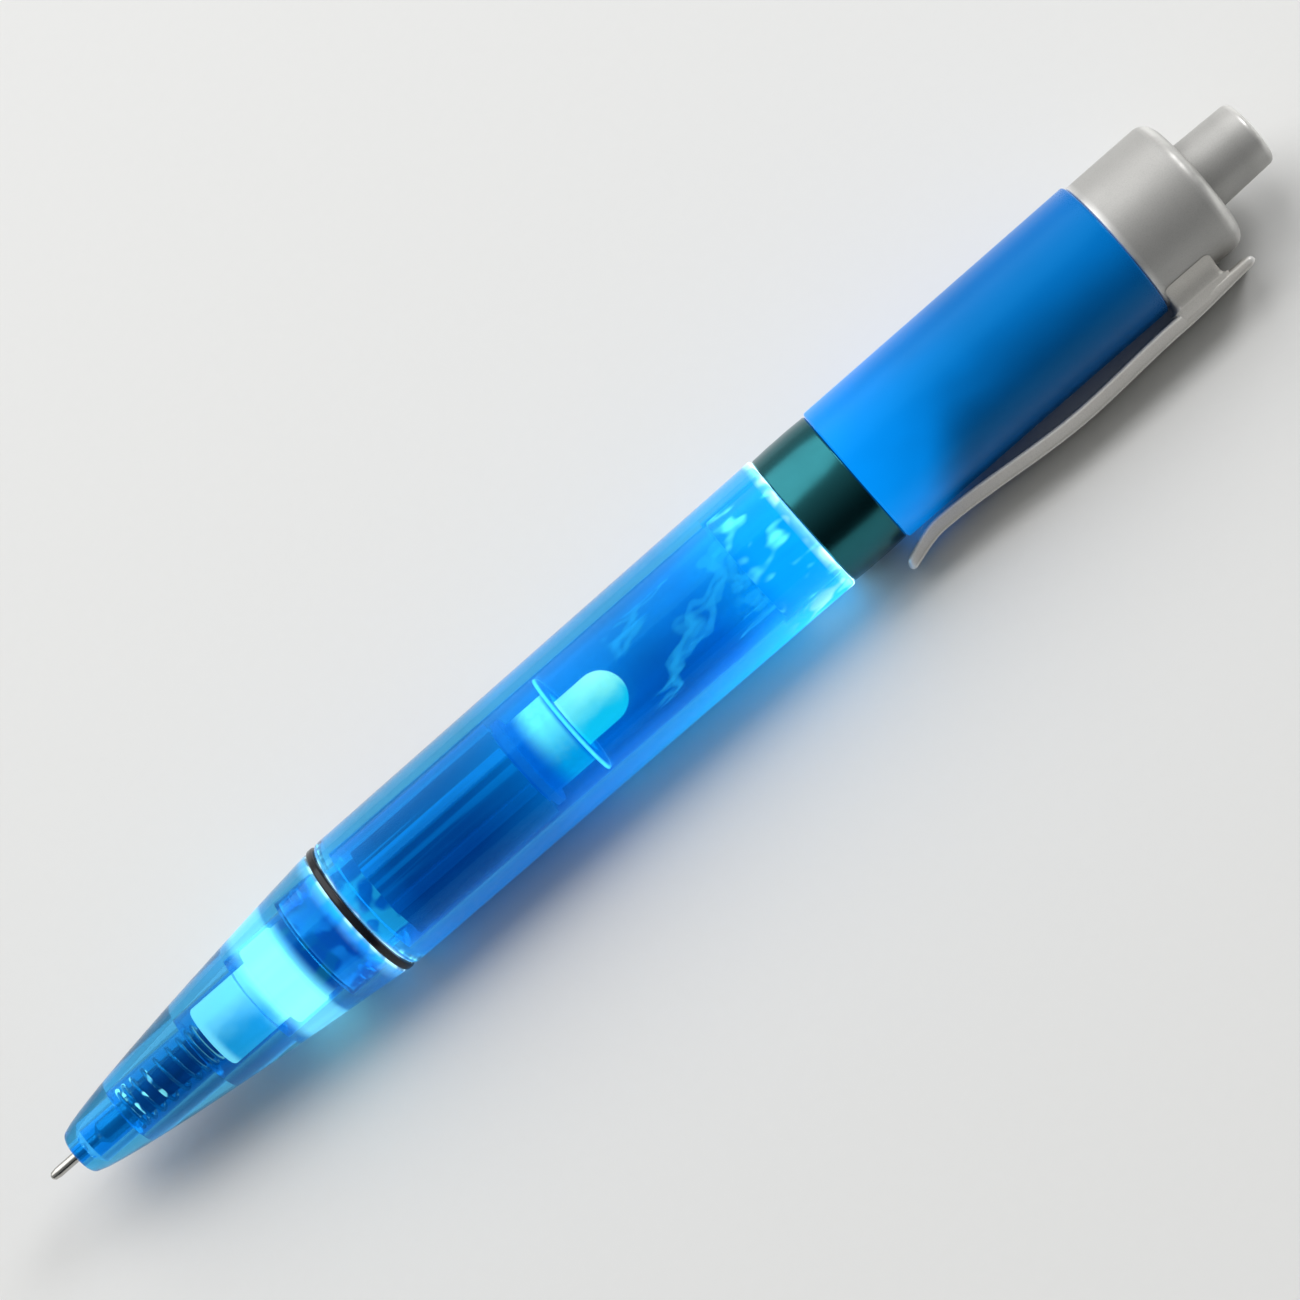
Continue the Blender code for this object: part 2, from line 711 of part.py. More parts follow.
def build_contacts():
    base_r = cell_r - CONTACT_SPRING_WIRE_D
    top_r = CONTACT_SPRING_TOP_D / 2
    coil = helix(
        contact_spring_front + CONTACT_SPRING_WIRE_D / 2,
        CONTACT_SPRING_HEIGHT - CONTACT_SPRING_WIRE_D,
        CONTACT_SPRING_TURNS,
        lambda along: base_r + (top_r - base_r) * along,
        0,
    )
    wire("contact_spring", coil, CONTACT_SPRING_WIRE_D, finish["steel"])
    turned(
        "rear_contact",
        [
            (0, rear_contact_front + CONTACT_THICK),
            (cell_r, rear_contact_front + CONTACT_THICK),
            (cell_r, rear_contact_front),
            (0, rear_contact_front),
        ],
        finish["brass"],
        rear_contact_front,
    )
    strip_inner = battery_r + SEAT_GAP
    strip_outer = strip_inner + STRIP_THICK
    strip_rear = lead_exit + STRIP_WIDTH / 2
    side = [
        (strip_outer, strip_rear),
        (strip_outer, strip_leg),
        (base_r - CONTACT_SPRING_WIRE_D, strip_leg),
        (base_r - CONTACT_SPRING_WIRE_D, strip_leg + STRIP_THICK),
        (strip_inner, strip_leg + STRIP_THICK),
        (strip_inner, strip_rear),
    ]
    stand_up = Matrix(((0, 0, 1), (1, 0, 0), (0, 1, 0)))
    plate_from_outlines("contact_strip", [side], STRIP_WIDTH, stand_up, finish["brass"])


def build_lamp():
    dome_base = led_base + LED_HEIGHT - led_r
    lens = [(0, led_base + LED_HEIGHT)]
    for k in range(1, DOME_STEPS + 1):
        angle = math.pi / 2 * k / DOME_STEPS
        lens.append((led_r * math.sin(angle), dome_base + led_r * math.cos(angle)))
    lens += [
        (led_r, led_base + LED_FLANGE_THICK),
        (led_flange_r, led_base + LED_FLANGE_THICK),
        (led_flange_r, led_base),
        (0, led_base),
    ]
    turned("led_lamp", lens, finish["lamp"], led_base)
    spigot = battery_bore_r - SEAT_GAP
    holder = turned(
        "led_holder",
        [
            (battery_rib_r, plate_rear, EDGE_ROUND),
            (battery_rib_r, plate_rear - PLATE_THICK),
            (holder_r, plate_rear - PLATE_THICK),
            (holder_r, holder_rim + HOLDER_RIM_LENGTH),
            (battery_r, holder_rim + HOLDER_RIM_LENGTH),
            (battery_r, holder_rim),
            (spigot, holder_rim),
            (spigot, holder_front),
            (0, holder_front),
            (0, lamp_pocket),
            (lamp_pocket_r, lamp_pocket),
            (lamp_pocket_r, plate_rear),
        ],
        finish["frost"],
        holder_rim,
    )
    lead_y = LEAD_PITCH / 2
    slot = LEAD_D / 2 + SEAT_GAP
    anode_hole = block(
        "anode_hole", (-slot, -lead_y - slot, holder_front - CUT_PAST), (slot, slot - lead_y, lamp_pocket + CUT_PAST)
    )
    boolean(holder, anode_hole, "DIFFERENCE")
    cathode_slot = block(
        "cathode_slot", (-slot, lead_y - slot, lead_exit - slot), (slot, battery_r + CUT_PAST, lamp_pocket + CUT_PAST)
    )
    boolean(holder, cathode_slot, "DIFFERENCE")
    lead_end = led_base - SEAT_GAP
    wire("anode_lead", [(0, -lead_y, lead_end), (0, -lead_y, holder_front)], LEAD_D, finish["steel"])
    bent = [
        (0, lead_y, lead_end),
        (0, lead_y, lead_exit + LEAD_D),
        (0, lead_y + LEAD_D / 3, lead_exit + LEAD_D / 3),
        (0, lead_y + LEAD_D, lead_exit),
        (0, battery_r, lead_exit),
    ]
    wire("cathode_lead", bent, LEAD_D, finish["steel"])


def build_click():
    turned(
        "push_tube",
        [(push_r, push_rear), (push_r, push_front), (push_bore_r, push_front), (push_bore_r, push_rear)],
        finish["clear"],
        push_front,
    )
    crown_steps = 4 * CROWN_TEETH
    rotor = turned(
        "cam_rotor",
        [
            (0, pilot_rear),
            (pilot_r, pilot_rear, EDGE_ROUND),
            (pilot_r, fin_rear),
            (rotor_head_r, fin_rear),
            (rotor_head_r, fin_front),
            (rotor_stem_r, fin_front),
            (rotor_stem_r, push_rear - ROTOR_STEM_LENGTH, EDGE_ROUND),
            (0, push_rear - ROTOR_STEM_LENGTH),
        ],
        finish["white"],
        fin_front,
        crown_steps,
    )
    cut_crown(rotor, fin_rear, CROWN_HEIGHT)
    fin_root = rotor_head_r - JOIN_DEPTH
    fins = slanted_bars("rotor_fins", fin_root, push_r, RIB_WIDTH, fin_front, fin_rear, 0, rib_slope)
    boolean(rotor, fins, "UNION")
    sleeve = turned(
        "cam_sleeve",
        [(sleeve_r, sleeve_rear), (sleeve_r, sleeve_front), (guide_r, sleeve_front), (guide_r, sleeve_rear)],
        finish["white"],
        sleeve_front,
        crown_steps,
    )
    rib_root = guide_r + JOIN_DEPTH
    ribs = slanted_bars(
        "guide_ribs", rib_inner_r, rib_root, RIB_WIDTH, rib_front, sleeve_rear - SEAT_GAP, rib_slope, 0
    )
    boolean(sleeve, ribs, "UNION")
    button = turned(
        "push_button",
        [
            (0, button_end),
            (BUTTON_END_D / 2, button_end, BUTTON_ROUND),
            (button_r, cap_rear),
            (button_r, collar_rear),
            (push_r, collar_rear, EDGE_ROUND),
            (push_r, collar_front, EDGE_ROUND),
            (rotor_head_r, collar_front),
            (rotor_head_r, crown_tip + CROWN_HEIGHT + CROWN_ROOT),
            (rotor_head_r, crown_tip),
            (pilot_bore_r, crown_tip),
            (pilot_bore_r, pilot_rear + SEAT_GAP),
            (0, pilot_rear + SEAT_GAP),
        ],
        finish["silver"],
        crown_tip,
        crown_steps,
    )
    cut_crown(button, crown_tip, CROWN_HEIGHT)


def build_upper_barrel():
    turned(
        "upper_barrel",
        [
            (upper_r, upper_rear, EDGE_ROUND),
            (upper_r, upper_front, EDGE_ROUND),
            (upper_spigot_r, upper_front),
            (upper_spigot_r, rear_socket_front + SEAT_GAP, EDGE_ROUND),
            (guide_r, rear_socket_front + SEAT_GAP),
            (guide_r, sleeve_front - SEAT_GAP),
            (upper_bore_r, sleeve_front - SEAT_GAP),
            (upper_bore_r, upper_rear),
        ],
        finish["blue"],
        upper_front,
        SHELL_STEPS,
    )
    cap = turned(
        "cap",
        [
            (cap_r, cap_rear, CAP_ROUND),
            (cap_r, cap_front, EDGE_ROUND),
            (cap_spigot_r, cap_front),
            (cap_spigot_r, cap_spigot_front, EDGE_ROUND),
            (guide_r, cap_spigot_front),
            (guide_r, cap_end_wall),
            (button_hole_r, cap_end_wall),
            (button_hole_r, cap_rear),
        ],
        finish["silver"],
        cap_front,
        SHELL_STEPS,
    )
    slot_length = TONGUE_LENGTH / 2 + SEAT_GAP
    slot_width = TONGUE_WIDTH / 2 + SEAT_GAP
    slot = block(
        "clip_slot",
        (guide_r / 2, -slot_width, bridge_middle - slot_length),
        (cap_r + CUT_PAST, slot_width, bridge_middle + slot_length),
    )
    boolean(cap, slot, "DIFFERENCE")


def build_clip():
    root_half = CLIP_ROOT_WIDTH / 2
    sunk = math.sqrt(saddle_r**2 - root_half**2) - JOIN_DEPTH
    leaf = [
        (valley_inner + FOOT_CURL, foot_tip),
        (valley_inner, foot_valley, "AUTO"),
        (bow_inner, bow_height, "AUTO"),
        (root_inner, bridge_front - ROOT_LEAD),
        (saddle_r, bridge_front),
        (sunk, bridge_front),
        (sunk, bridge_rear),
        (root_inner, bridge_rear),
        (root_inner, tail_end),
        (root_inner + CLIP_TAIL_THICK, tail_end),
        (root_inner + CLIP_THICK, bridge_middle, "AUTO"),
        (bow_inner + CLIP_THICK, bow_height, "AUTO"),
        (valley_inner + CLIP_THICK, foot_valley, "AUTO"),
        (valley_inner + FOOT_CURL + FOOT_TIP_THICK, foot_tip),
    ]
    stand_up = Matrix(((1, 0, 0), (0, 0, -1), (0, 1, 0)))
    clip = plate_from_outlines("clip", [leaf], CLIP_ROOT_WIDTH, stand_up, finish["silver"])
    for vertex in clip.data.vertices:
        vertex.co.y *= clip_half_width(vertex.co.z) / root_half
    hinge = Vector((cap_r, 0, bridge_middle))
    clip.data.transform(Matrix.Translation(-hinge))
    clip.location = hinge
    smooth(clip.data)
    edges = clip.modifiers.new("rounded_edges", "BEVEL")
    edges.width = CLIP_EDGE
    edges.segments = 2
    edges.limit_method = "ANGLE"
    edges.angle_limit = math.radians(50)
    saddle = turned(
        "cap_room",
        [(0, cap_rear + CUT_PAST), (saddle_r, cap_rear + CUT_PAST), (saddle_r, upper_front), (0, upper_front)],
        steps=SHELL_STEPS,
    )
    boolean(clip, saddle, "DIFFERENCE")
    tongue = block(
        "clip_tongue",
        (guide_r + TONGUE_SETBACK, -TONGUE_WIDTH / 2, bridge_middle - TONGUE_LENGTH / 2),
        (saddle_r + JOIN_DEPTH, TONGUE_WIDTH / 2, bridge_middle + TONGUE_LENGTH / 2),
    )
    boolean(clip, tongue, "UNION")


def lay_down():
    """Turns the pen's axis to +X and its clip down to the ground, centred over the origin."""
    along = Vector((1, 0, 0))
    clip_side = Vector((0, -math.cos(roll), -math.sin(roll)))
    far_side = along.cross(clip_side)
    pen_frame.matrix_world = Matrix(
        (
            (clip_side.x, far_side.x, along.x, (NIB_OUT - button_end) / 2),
            (clip_side.y, far_side.y, along.y, (clip_overhang - rest_r) / 2),
            (clip_side.z, far_side.z, along.z, rest_r),
            (0, 0, 0, 1),
        )
    )


clear_scene()
pieces = new_collection("light_up_pen")
cutters = new_collection("cutters", shown=False)
pen_frame = bpy.data.objects.new("pen_frame", None)
pieces.objects.link(pen_frame)
finish = {
    "clear": new_finish("clear_plastic", (0.25, 0.72, 0.95), 0.08, transmission=0.9, glow=0.2),
    "blue": new_finish("blue_plastic", (0.01, 0.16, 0.55), 0.12, transmission=0.5, glow=0.1),
    "black": new_finish("black_ring", (0.01, 0.01, 0.012), 0.15),
    "mirror": new_finish("mirror_ring", (0.82, 0.84, 0.86), 0.05, metallic=1.0),
    "silver": new_finish("silver_paint", (0.40, 0.39, 0.38), 0.38, metallic=0.7),
    "white": new_finish("white_plastic", (0.85, 0.92, 0.95), 0.35),
    "frost": new_finish("frosted_plastic", (0.55, 0.85, 0.95), 0.4, transmission=0.4),
    "lamp": new_finish("lamp_lens", (0.35, 0.85, 1.0), 0.1, transmission=0.6, glow=4.0),
    "steel": new_finish("steel", (0.62, 0.62, 0.60), 0.25, metallic=1.0),
    "brass": new_finish("brass", (0.72, 0.56, 0.28), 0.3, metallic=1.0),
    "ink": new_finish("ink_tube", (0.02, 0.03, 0.12), 0.3),
}
build_refill()
build_nose()
build_lower_barrel()
build_cells()
build_contacts()
build_lamp()
build_click()
build_upper_barrel()
build_clip()
lay_down()
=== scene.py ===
"""Looks of a light-up click pen: clear lit nose and barrel, mirror ring, blue upper barrel and silver trim.

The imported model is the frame. Every new piece is worked out in the pen's own coordinates: heights run from
the nose rim towards the button, radii from the axis, and angles round the axis from the clip. Pieces are
measured in metres, and finishes in millimetres.
"""

import json
import math

import bmesh
import bpy
import numpy as np
from bpy.props import FloatProperty, FloatVectorProperty, IntProperty, PointerProperty
from mathutils import Matrix, Vector

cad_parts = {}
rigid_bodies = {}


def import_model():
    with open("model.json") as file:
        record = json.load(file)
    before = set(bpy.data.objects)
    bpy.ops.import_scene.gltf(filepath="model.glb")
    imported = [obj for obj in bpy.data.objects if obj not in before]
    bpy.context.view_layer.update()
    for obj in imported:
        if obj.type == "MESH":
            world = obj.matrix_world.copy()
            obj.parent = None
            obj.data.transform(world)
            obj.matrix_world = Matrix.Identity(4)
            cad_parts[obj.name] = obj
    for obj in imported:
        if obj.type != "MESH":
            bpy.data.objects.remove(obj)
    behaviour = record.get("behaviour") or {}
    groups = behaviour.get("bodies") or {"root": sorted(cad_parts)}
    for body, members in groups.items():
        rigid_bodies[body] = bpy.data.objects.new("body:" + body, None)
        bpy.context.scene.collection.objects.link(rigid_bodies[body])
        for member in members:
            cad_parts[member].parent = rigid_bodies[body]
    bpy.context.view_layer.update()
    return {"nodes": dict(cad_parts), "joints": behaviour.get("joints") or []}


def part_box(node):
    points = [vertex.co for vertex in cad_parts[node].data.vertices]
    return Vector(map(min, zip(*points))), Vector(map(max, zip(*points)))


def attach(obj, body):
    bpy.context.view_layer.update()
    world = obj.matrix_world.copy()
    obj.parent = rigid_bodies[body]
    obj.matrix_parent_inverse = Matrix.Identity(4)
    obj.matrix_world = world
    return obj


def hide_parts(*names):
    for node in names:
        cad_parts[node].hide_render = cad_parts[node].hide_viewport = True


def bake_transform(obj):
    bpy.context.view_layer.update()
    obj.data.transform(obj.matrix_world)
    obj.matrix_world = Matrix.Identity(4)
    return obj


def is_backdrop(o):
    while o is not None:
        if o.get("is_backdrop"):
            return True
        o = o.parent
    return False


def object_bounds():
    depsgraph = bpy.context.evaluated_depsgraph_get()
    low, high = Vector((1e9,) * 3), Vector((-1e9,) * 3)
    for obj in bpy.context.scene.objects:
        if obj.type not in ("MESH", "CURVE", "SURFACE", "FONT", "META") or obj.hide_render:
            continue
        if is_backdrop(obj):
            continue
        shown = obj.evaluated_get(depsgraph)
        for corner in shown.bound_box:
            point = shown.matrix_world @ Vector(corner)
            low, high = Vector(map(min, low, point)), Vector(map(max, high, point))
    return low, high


bl_info = {
    "name": "Light-up pen looks",
    "version": (1, 0, 0),
    "blender": (4, 5, 0),
    "location": "View3D > Sidebar > Pen",
    "description": "Dresses the packed light-up pen in smooth shells and lit, tinted and metallic finishes",
    "category": "Object",
}

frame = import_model()

# The pen's own axes: along it, out to its clip, and out to the camera's side, which is the clip hinge's axis
clip_hinge = next(joint for joint in frame["joints"] if joint["name"] == "clip_flex")
ALONG = np.array((1.0, 0.0, 0.0))
TO_CAMERA = np.array(clip_hinge["axis"])
TO_CLIP = np.cross(ALONG, TO_CAMERA)
barrel_low, barrel_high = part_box("lower_barrel")
PEN_ORIGIN = np.array(
    (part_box("nose_cone")[0].x, (barrel_low.y + barrel_high.y) / 2, (barrel_low.z + barrel_high.z) / 2)
)


def span(node):
    """Heights of a CAD node's front and rear ends along the pen."""
    low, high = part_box(node)
    return low.x - PEN_ORIGIN[0], high.x - PEN_ORIGIN[0]


nose_rear = span("nose_cone")[1]
joint_front, joint_rear = span("joint_ring")
spigot_front, lower_rear = span("lower_barrel")
ring_front, ring_rear = span("centre_ring")
upper_spigot_front, upper_rear = span("upper_barrel")
cap_spigot_front, cap_rear = span("cap")
crown_front, button_end = span("push_button")
foot_tip, tail_end = span("clip")
nozzle_front, plug_rear = span("refill_carrier")
point_tip, stub_rear = span("refill_point")
ink_front, ink_rear = span("ink_tube")
spring_front, spring_rear = span("return_spring")
tube_front, tube_rear = span("battery_tube")
holder_front, plate_rear = span("led_holder")
lamp_base, lamp_top = span("led_lamp")
push_front, push_rear = span("push_tube")
ball_front, ball_rear = span("writing_ball")

MILLIMETRE = 0.001
MICRON = 1e-6

# Points round a turned piece, a small one and the ribbed tube, on a fillet, and on a section's corner
AROUND = 144
AROUND_SMALL = 64
AROUND_RIBS = 4 * AROUND
FILLET_POINTS = 7
CORNER_POINTS = 6

# Stations along the nose, leaf, bridge and a turn of wire, round the wire, and along the ball and the dome
NOSE_STATIONS = 26
LEAF_STATIONS = 90
BRIDGE_STATIONS = 28
TURN_STATIONS = 40
AROUND_WIRE = 14
BALL_POINTS = 24
DOME_POINTS = 18

# Parts that a profile's side is split into: a long side, the sockets, the thread and the button
LONG_SPLITS = 12
NOSE_SOCKET_SPLITS = 24
REAR_SOCKET_SPLITS = 32
THREAD_SPLITS = 48
BUTTON_SPLITS = 3

# Closer points merge, radii and heights this close are the same, and steeper edges are sharp
MERGE = 1e-7
SAME = 1e-6
SHARP = math.radians(38)

# Rounds of the small inner pieces' edges
SOFT = 0.0003
CRISP = 0.0002
PLATE_EDGE = 0.00015
FINE = 0.0001

# Widths of the marks at rims that are lit, or that show wear with a painted highlight
THIN_RIM = 0.00015
FINE_RIM = 0.0002
RIM = 0.0003
BROAD_RIM = 0.0004
TIP_RIM = 0.0007
TAIL_RIM = 0.0005

# A clear shell's points within this share of its outer radius are its bore
BORE_SHARE = 0.88

# Each new piece: the CAD node that it stands for, the body that it rides on, its slot and its finish
PIECES = {
    "nose_shell": ("nose_cone", "barrel", "clear_plastic", "clear"),
    "lower_shell": ("lower_barrel", "barrel", "clear_plastic", "clear"),
    "black_ring": ("joint_ring", "barrel", "black_plastic", "black"),
    "mirror_ring": ("centre_ring", "barrel", "mirror_ring", "mirror"),
    "upper_shell": ("upper_barrel", "barrel", "blue_plastic", "blue"),
    "cap_shell": ("cap", "barrel", "silver_plastic", "silver"),
    "button_shell": ("push_button", "button", "silver_plastic", "silver"),
    "clip_leaf": ("clip", "clip", "silver_plastic", "clip"),
    "point": ("refill_point", "cartridge", "point_steel", "steel"),
    "ball": ("writing_ball", "cartridge", "point_steel", "steel"),
    "ink": ("ink_tube", "cartridge", "ink_plastic", "ink"),
    "spring": ("return_spring", None, "spring_steel", "spring"),
    "carrier": ("refill_carrier", "cartridge", "white_plastic", "plug"),
    "cell_tube": ("battery_tube", "cartridge", "frosted_plastic", "tube"),
    "cell_1": ("button_cell_1", "cartridge", "cell_can", "cell"),
    "cell_2": ("button_cell_2", "cartridge", "cell_can", "cell"),
    "cell_3": ("button_cell_3", "cartridge", "cell_can", "cell"),
    "lamp_holder": ("led_holder", "cartridge", "frosted_plastic", "holder"),
    "lamp": ("led_lamp", "cartridge", "lamp_lens", "lamp"),
    "push_sleeve": ("push_tube", "cartridge", "clear_plastic", "push"),
}

# Finishes of the CAD nodes that stay
KEPT_NODES = {
    "contact_spring": "steel",
    "anode_lead": "steel",
    "cathode_lead": "steel",
    "contact_strip": "brass",
    "rear_contact": "brass",
    "cam_sleeve": "cam",
    "cam_rotor": "cam",
}

# Light along the clear shells' bores: the height, which glow, and the share of it
GLOW_ALONG = (
    (0.0, "glow_mid", 1.0),
    (5.0, "glow_mid", 1.0),
    (10.0, "glow_deep", 1.0),
    (18.0, "glow_deep", 1.0),
    (22.8, "glow_mid", 1.0),
    (23.6, "glow_white", 1.0),
    (27.0, "glow_white", 1.0),
    (27.4, "glow_mid", 1.0),
    (28.6, "glow_deep", 1.0),
    (32.2, "glow_deep", 1.0),
    (33.2, "glow_bright", 1.0),
    (36.5, "glow_mid", 1.0),
    (40.0, "glow_deep", 1.0),
    (52.0, "glow_deep", 1.0),
    (56.0, "glow_mid", 1.0),
    (62.0, "glow_mid", 1.0),
    (69.0, "glow_mid", 0.7),
    (75.0, "glow_mid", 1.1),
    (79.5, "glow_bright", 0.75),
    (84.0, "glow_bright", 0.85),
    (86.5, "glow_bright", 1.0),
)

# Places and sizes of the soft boxes, the room's bright side and its two shades, the floor and the camera
KEY_BOX = ((-0.15, 0.42, 0.68), 1.1)
RIM_BOX = ((0.62, 0.16, 0.50), 0.3)
BRIGHT_SIDE = Vector((-0.1, 0.85, 0.5)).normalized()
DARK_SHADE = (0.03, 0.04, 0.045)
BRIGHT_SHADE = (1.0, 1.0, 0.99)
FLOOR_HALF_SIDE = 3.0
SENSOR_WIDTH = 36
CLIP_START = 0.01


def number(name, default, description, **kind):
    """Property that holds a number of some kind."""
    return FloatProperty(name=name, default=default, description=description, **kind)


def length(name, default, description):
    """Property that holds a length in metres."""
    return number(name, default, description, min=0, precision=5, unit="LENGTH")


def share(name, default, description):
    """Property that holds a share or a power."""
    return number(name, default, description, subtype="FACTOR")


def count(name, default, description):
    """Property that holds a whole number."""
    return IntProperty(name=name, default=default, description=description, min=1)


def tint(name, default, description):
    """Property that holds a colour."""
    return FloatVectorProperty(
        name=name, default=default, description=description, min=0, size=3, subtype="COLOR"
    )


class ShellSizes(bpy.types.PropertyGroup):
    """Sizes of the pen's outer shells."""

    seam: length("Seam", 0.00004, "Open line between two shells")
    edge: length("Edge", 0.00025, "Round of a moulded edge")
    nose_tip_r: length("Nose tip radius", 0.0022, "Outer radius at the nose rim")
    nose_rear_r: length("Nose rear radius", 0.0069, "Outer radius at the nose's rear rim")
    nose_swell: share("Nose swell", 0.73, "Power of the nose's outline, 1 for a plain cone")
    nose_rim: length("Nose rim round", 0.0006, "Round of the nose's front rim")
    throat_r: length("Throat radius", 0.0008, "Bore round the needle")
    throat_length: length("Throat length", 0.0012, "Depth of the needle's bore")
    point_bore_r: length("Point bore radius", 0.00145, "Bore round the refill's point")
    spring_seat: length("Spring seat", 0.0060, "Height of the step that carries the return spring")
    spring_bore_r: length("Spring bore radius", 0.0025, "Bore round the return spring")
    nozzle_room: length("Nozzle room", 0.0151, "Height where the bore widens for the carrier's nozzle")
    nozzle_bore_r: length("Nozzle bore radius", 0.00345, "Bore round the carrier's nozzle")
    flange_room: length("Flange room", 0.0221, "Height where the bore widens for the carrier's flange")
    flange_bore_r: length("Flange bore radius", 0.0045, "Bore round the carrier's flange")
    nose_socket: length("Nose socket", 0.0290, "Height of the socket for the barrel's spigot")
    nose_socket_r: length("Nose socket radius", 0.0054, "Radius of that socket")
    lower_front_r: length("Lower front radius", 0.0070, "Outer radius of the lower barrel's front")
    lower_rear_r: length("Lower rear radius", 0.0072, "Outer radius of the lower barrel's rear")
    lower_bore_r: length("Lower bore radius", 0.00555, "Bore of the lower barrel")
    bore_step: length("Bore step", 0.0357, "Height where the barrel's bore begins")
    spigot_r: length("Spigot radius", 0.0051, "Core radius of the threaded front spigot")
    thread_pitch: length("Thread pitch", 0.0011, "Pitch of the spigot's thread")
    thread_height: length("Thread height", 0.00022, "Height of the spigot's thread")
    thread_start: length("Thread start", 0.0008, "From the spigot's front to its thread")
    thread_end: length("Thread end", 0.0004, "From the thread to the nose's rear")
    thread_fade: length("Thread fade", 0.0006, "Length over which the thread fades at its ends")
    lit_rim: length("Lit rim", 0.0010, "Length of the lower barrel's rear that its beads of light reach")
    rim_light: share("Rim light", 2, "Strength of that light against the front rim's")
    spigot_light: share("Spigot light", 0.7, "Strength of the spigot's lit end against the front rim's")
    rear_socket: length("Rear socket", 0.0800, "Height of the socket for the upper barrel's spigot")
    rear_socket_r: length("Rear socket radius", 0.0059, "Radius of that socket")
    ring_r: length("Ring radius", 0.0070, "Outer radius of the mirror ring")
    ring_crown: length("Ring crown", 0.00006, "Rise of the ring's middle")
    ring_flat: length("Ring flat", 0.0012, "Half the length of that middle")
    upper_r: length("Upper radius", 0.0072, "Outer radius of the upper barrel")
    upper_spigot_r: length("Upper spigot radius", 0.0056, "Radius of the upper barrel's front spigot")
    guide_r: length("Guide radius", 0.0045, "Bore that guides the push tube")
    guide_rear: length("Guide rear", 0.0953, "Height where the guide bore ends")
    cap_r: length("Cap radius", 0.0069, "Outer radius of the cap")
    cap_round: length("Cap round", 0.0014, "Round of the cap's rear edge")
    cap_end_wall: length("Cap end wall", 0.0015, "Wall round the button's hole")
    button_r: length("Button radius", 0.0035, "Radius of the button at the cap")
    button_end_r: length("Button end radius", 0.0033, "Radius of the button at its end")
    button_round: length("Button round", 0.0007, "Round of the button's end")
    button_crown: length("Button crown", 0.00025, "Rise of the middle of the button's end")
    button_gap: length("Button gap", 0.0003, "Room round the button in its hole")
    collar_room: length("Collar room", 0.0048, "From the cap's end wall to the button's collar")
    collar_length: length("Collar length", 0.0020, "Length of the button's collar")
    shank_step: length("Shank step", 0.0001, "What the button loses in radius in front of its collar")
    pilot_bore_r: length("Pilot bore radius", 0.0021, "Bore in the button's front for the cam's pin")
    pilot_bore: length("Pilot bore", 0.0041, "Depth of that bore")
    crown_teeth: count("Crown teeth", 8, "Teeth round the button's front")
    crown_height: length("Crown height", 0.0009, "Height of those teeth")


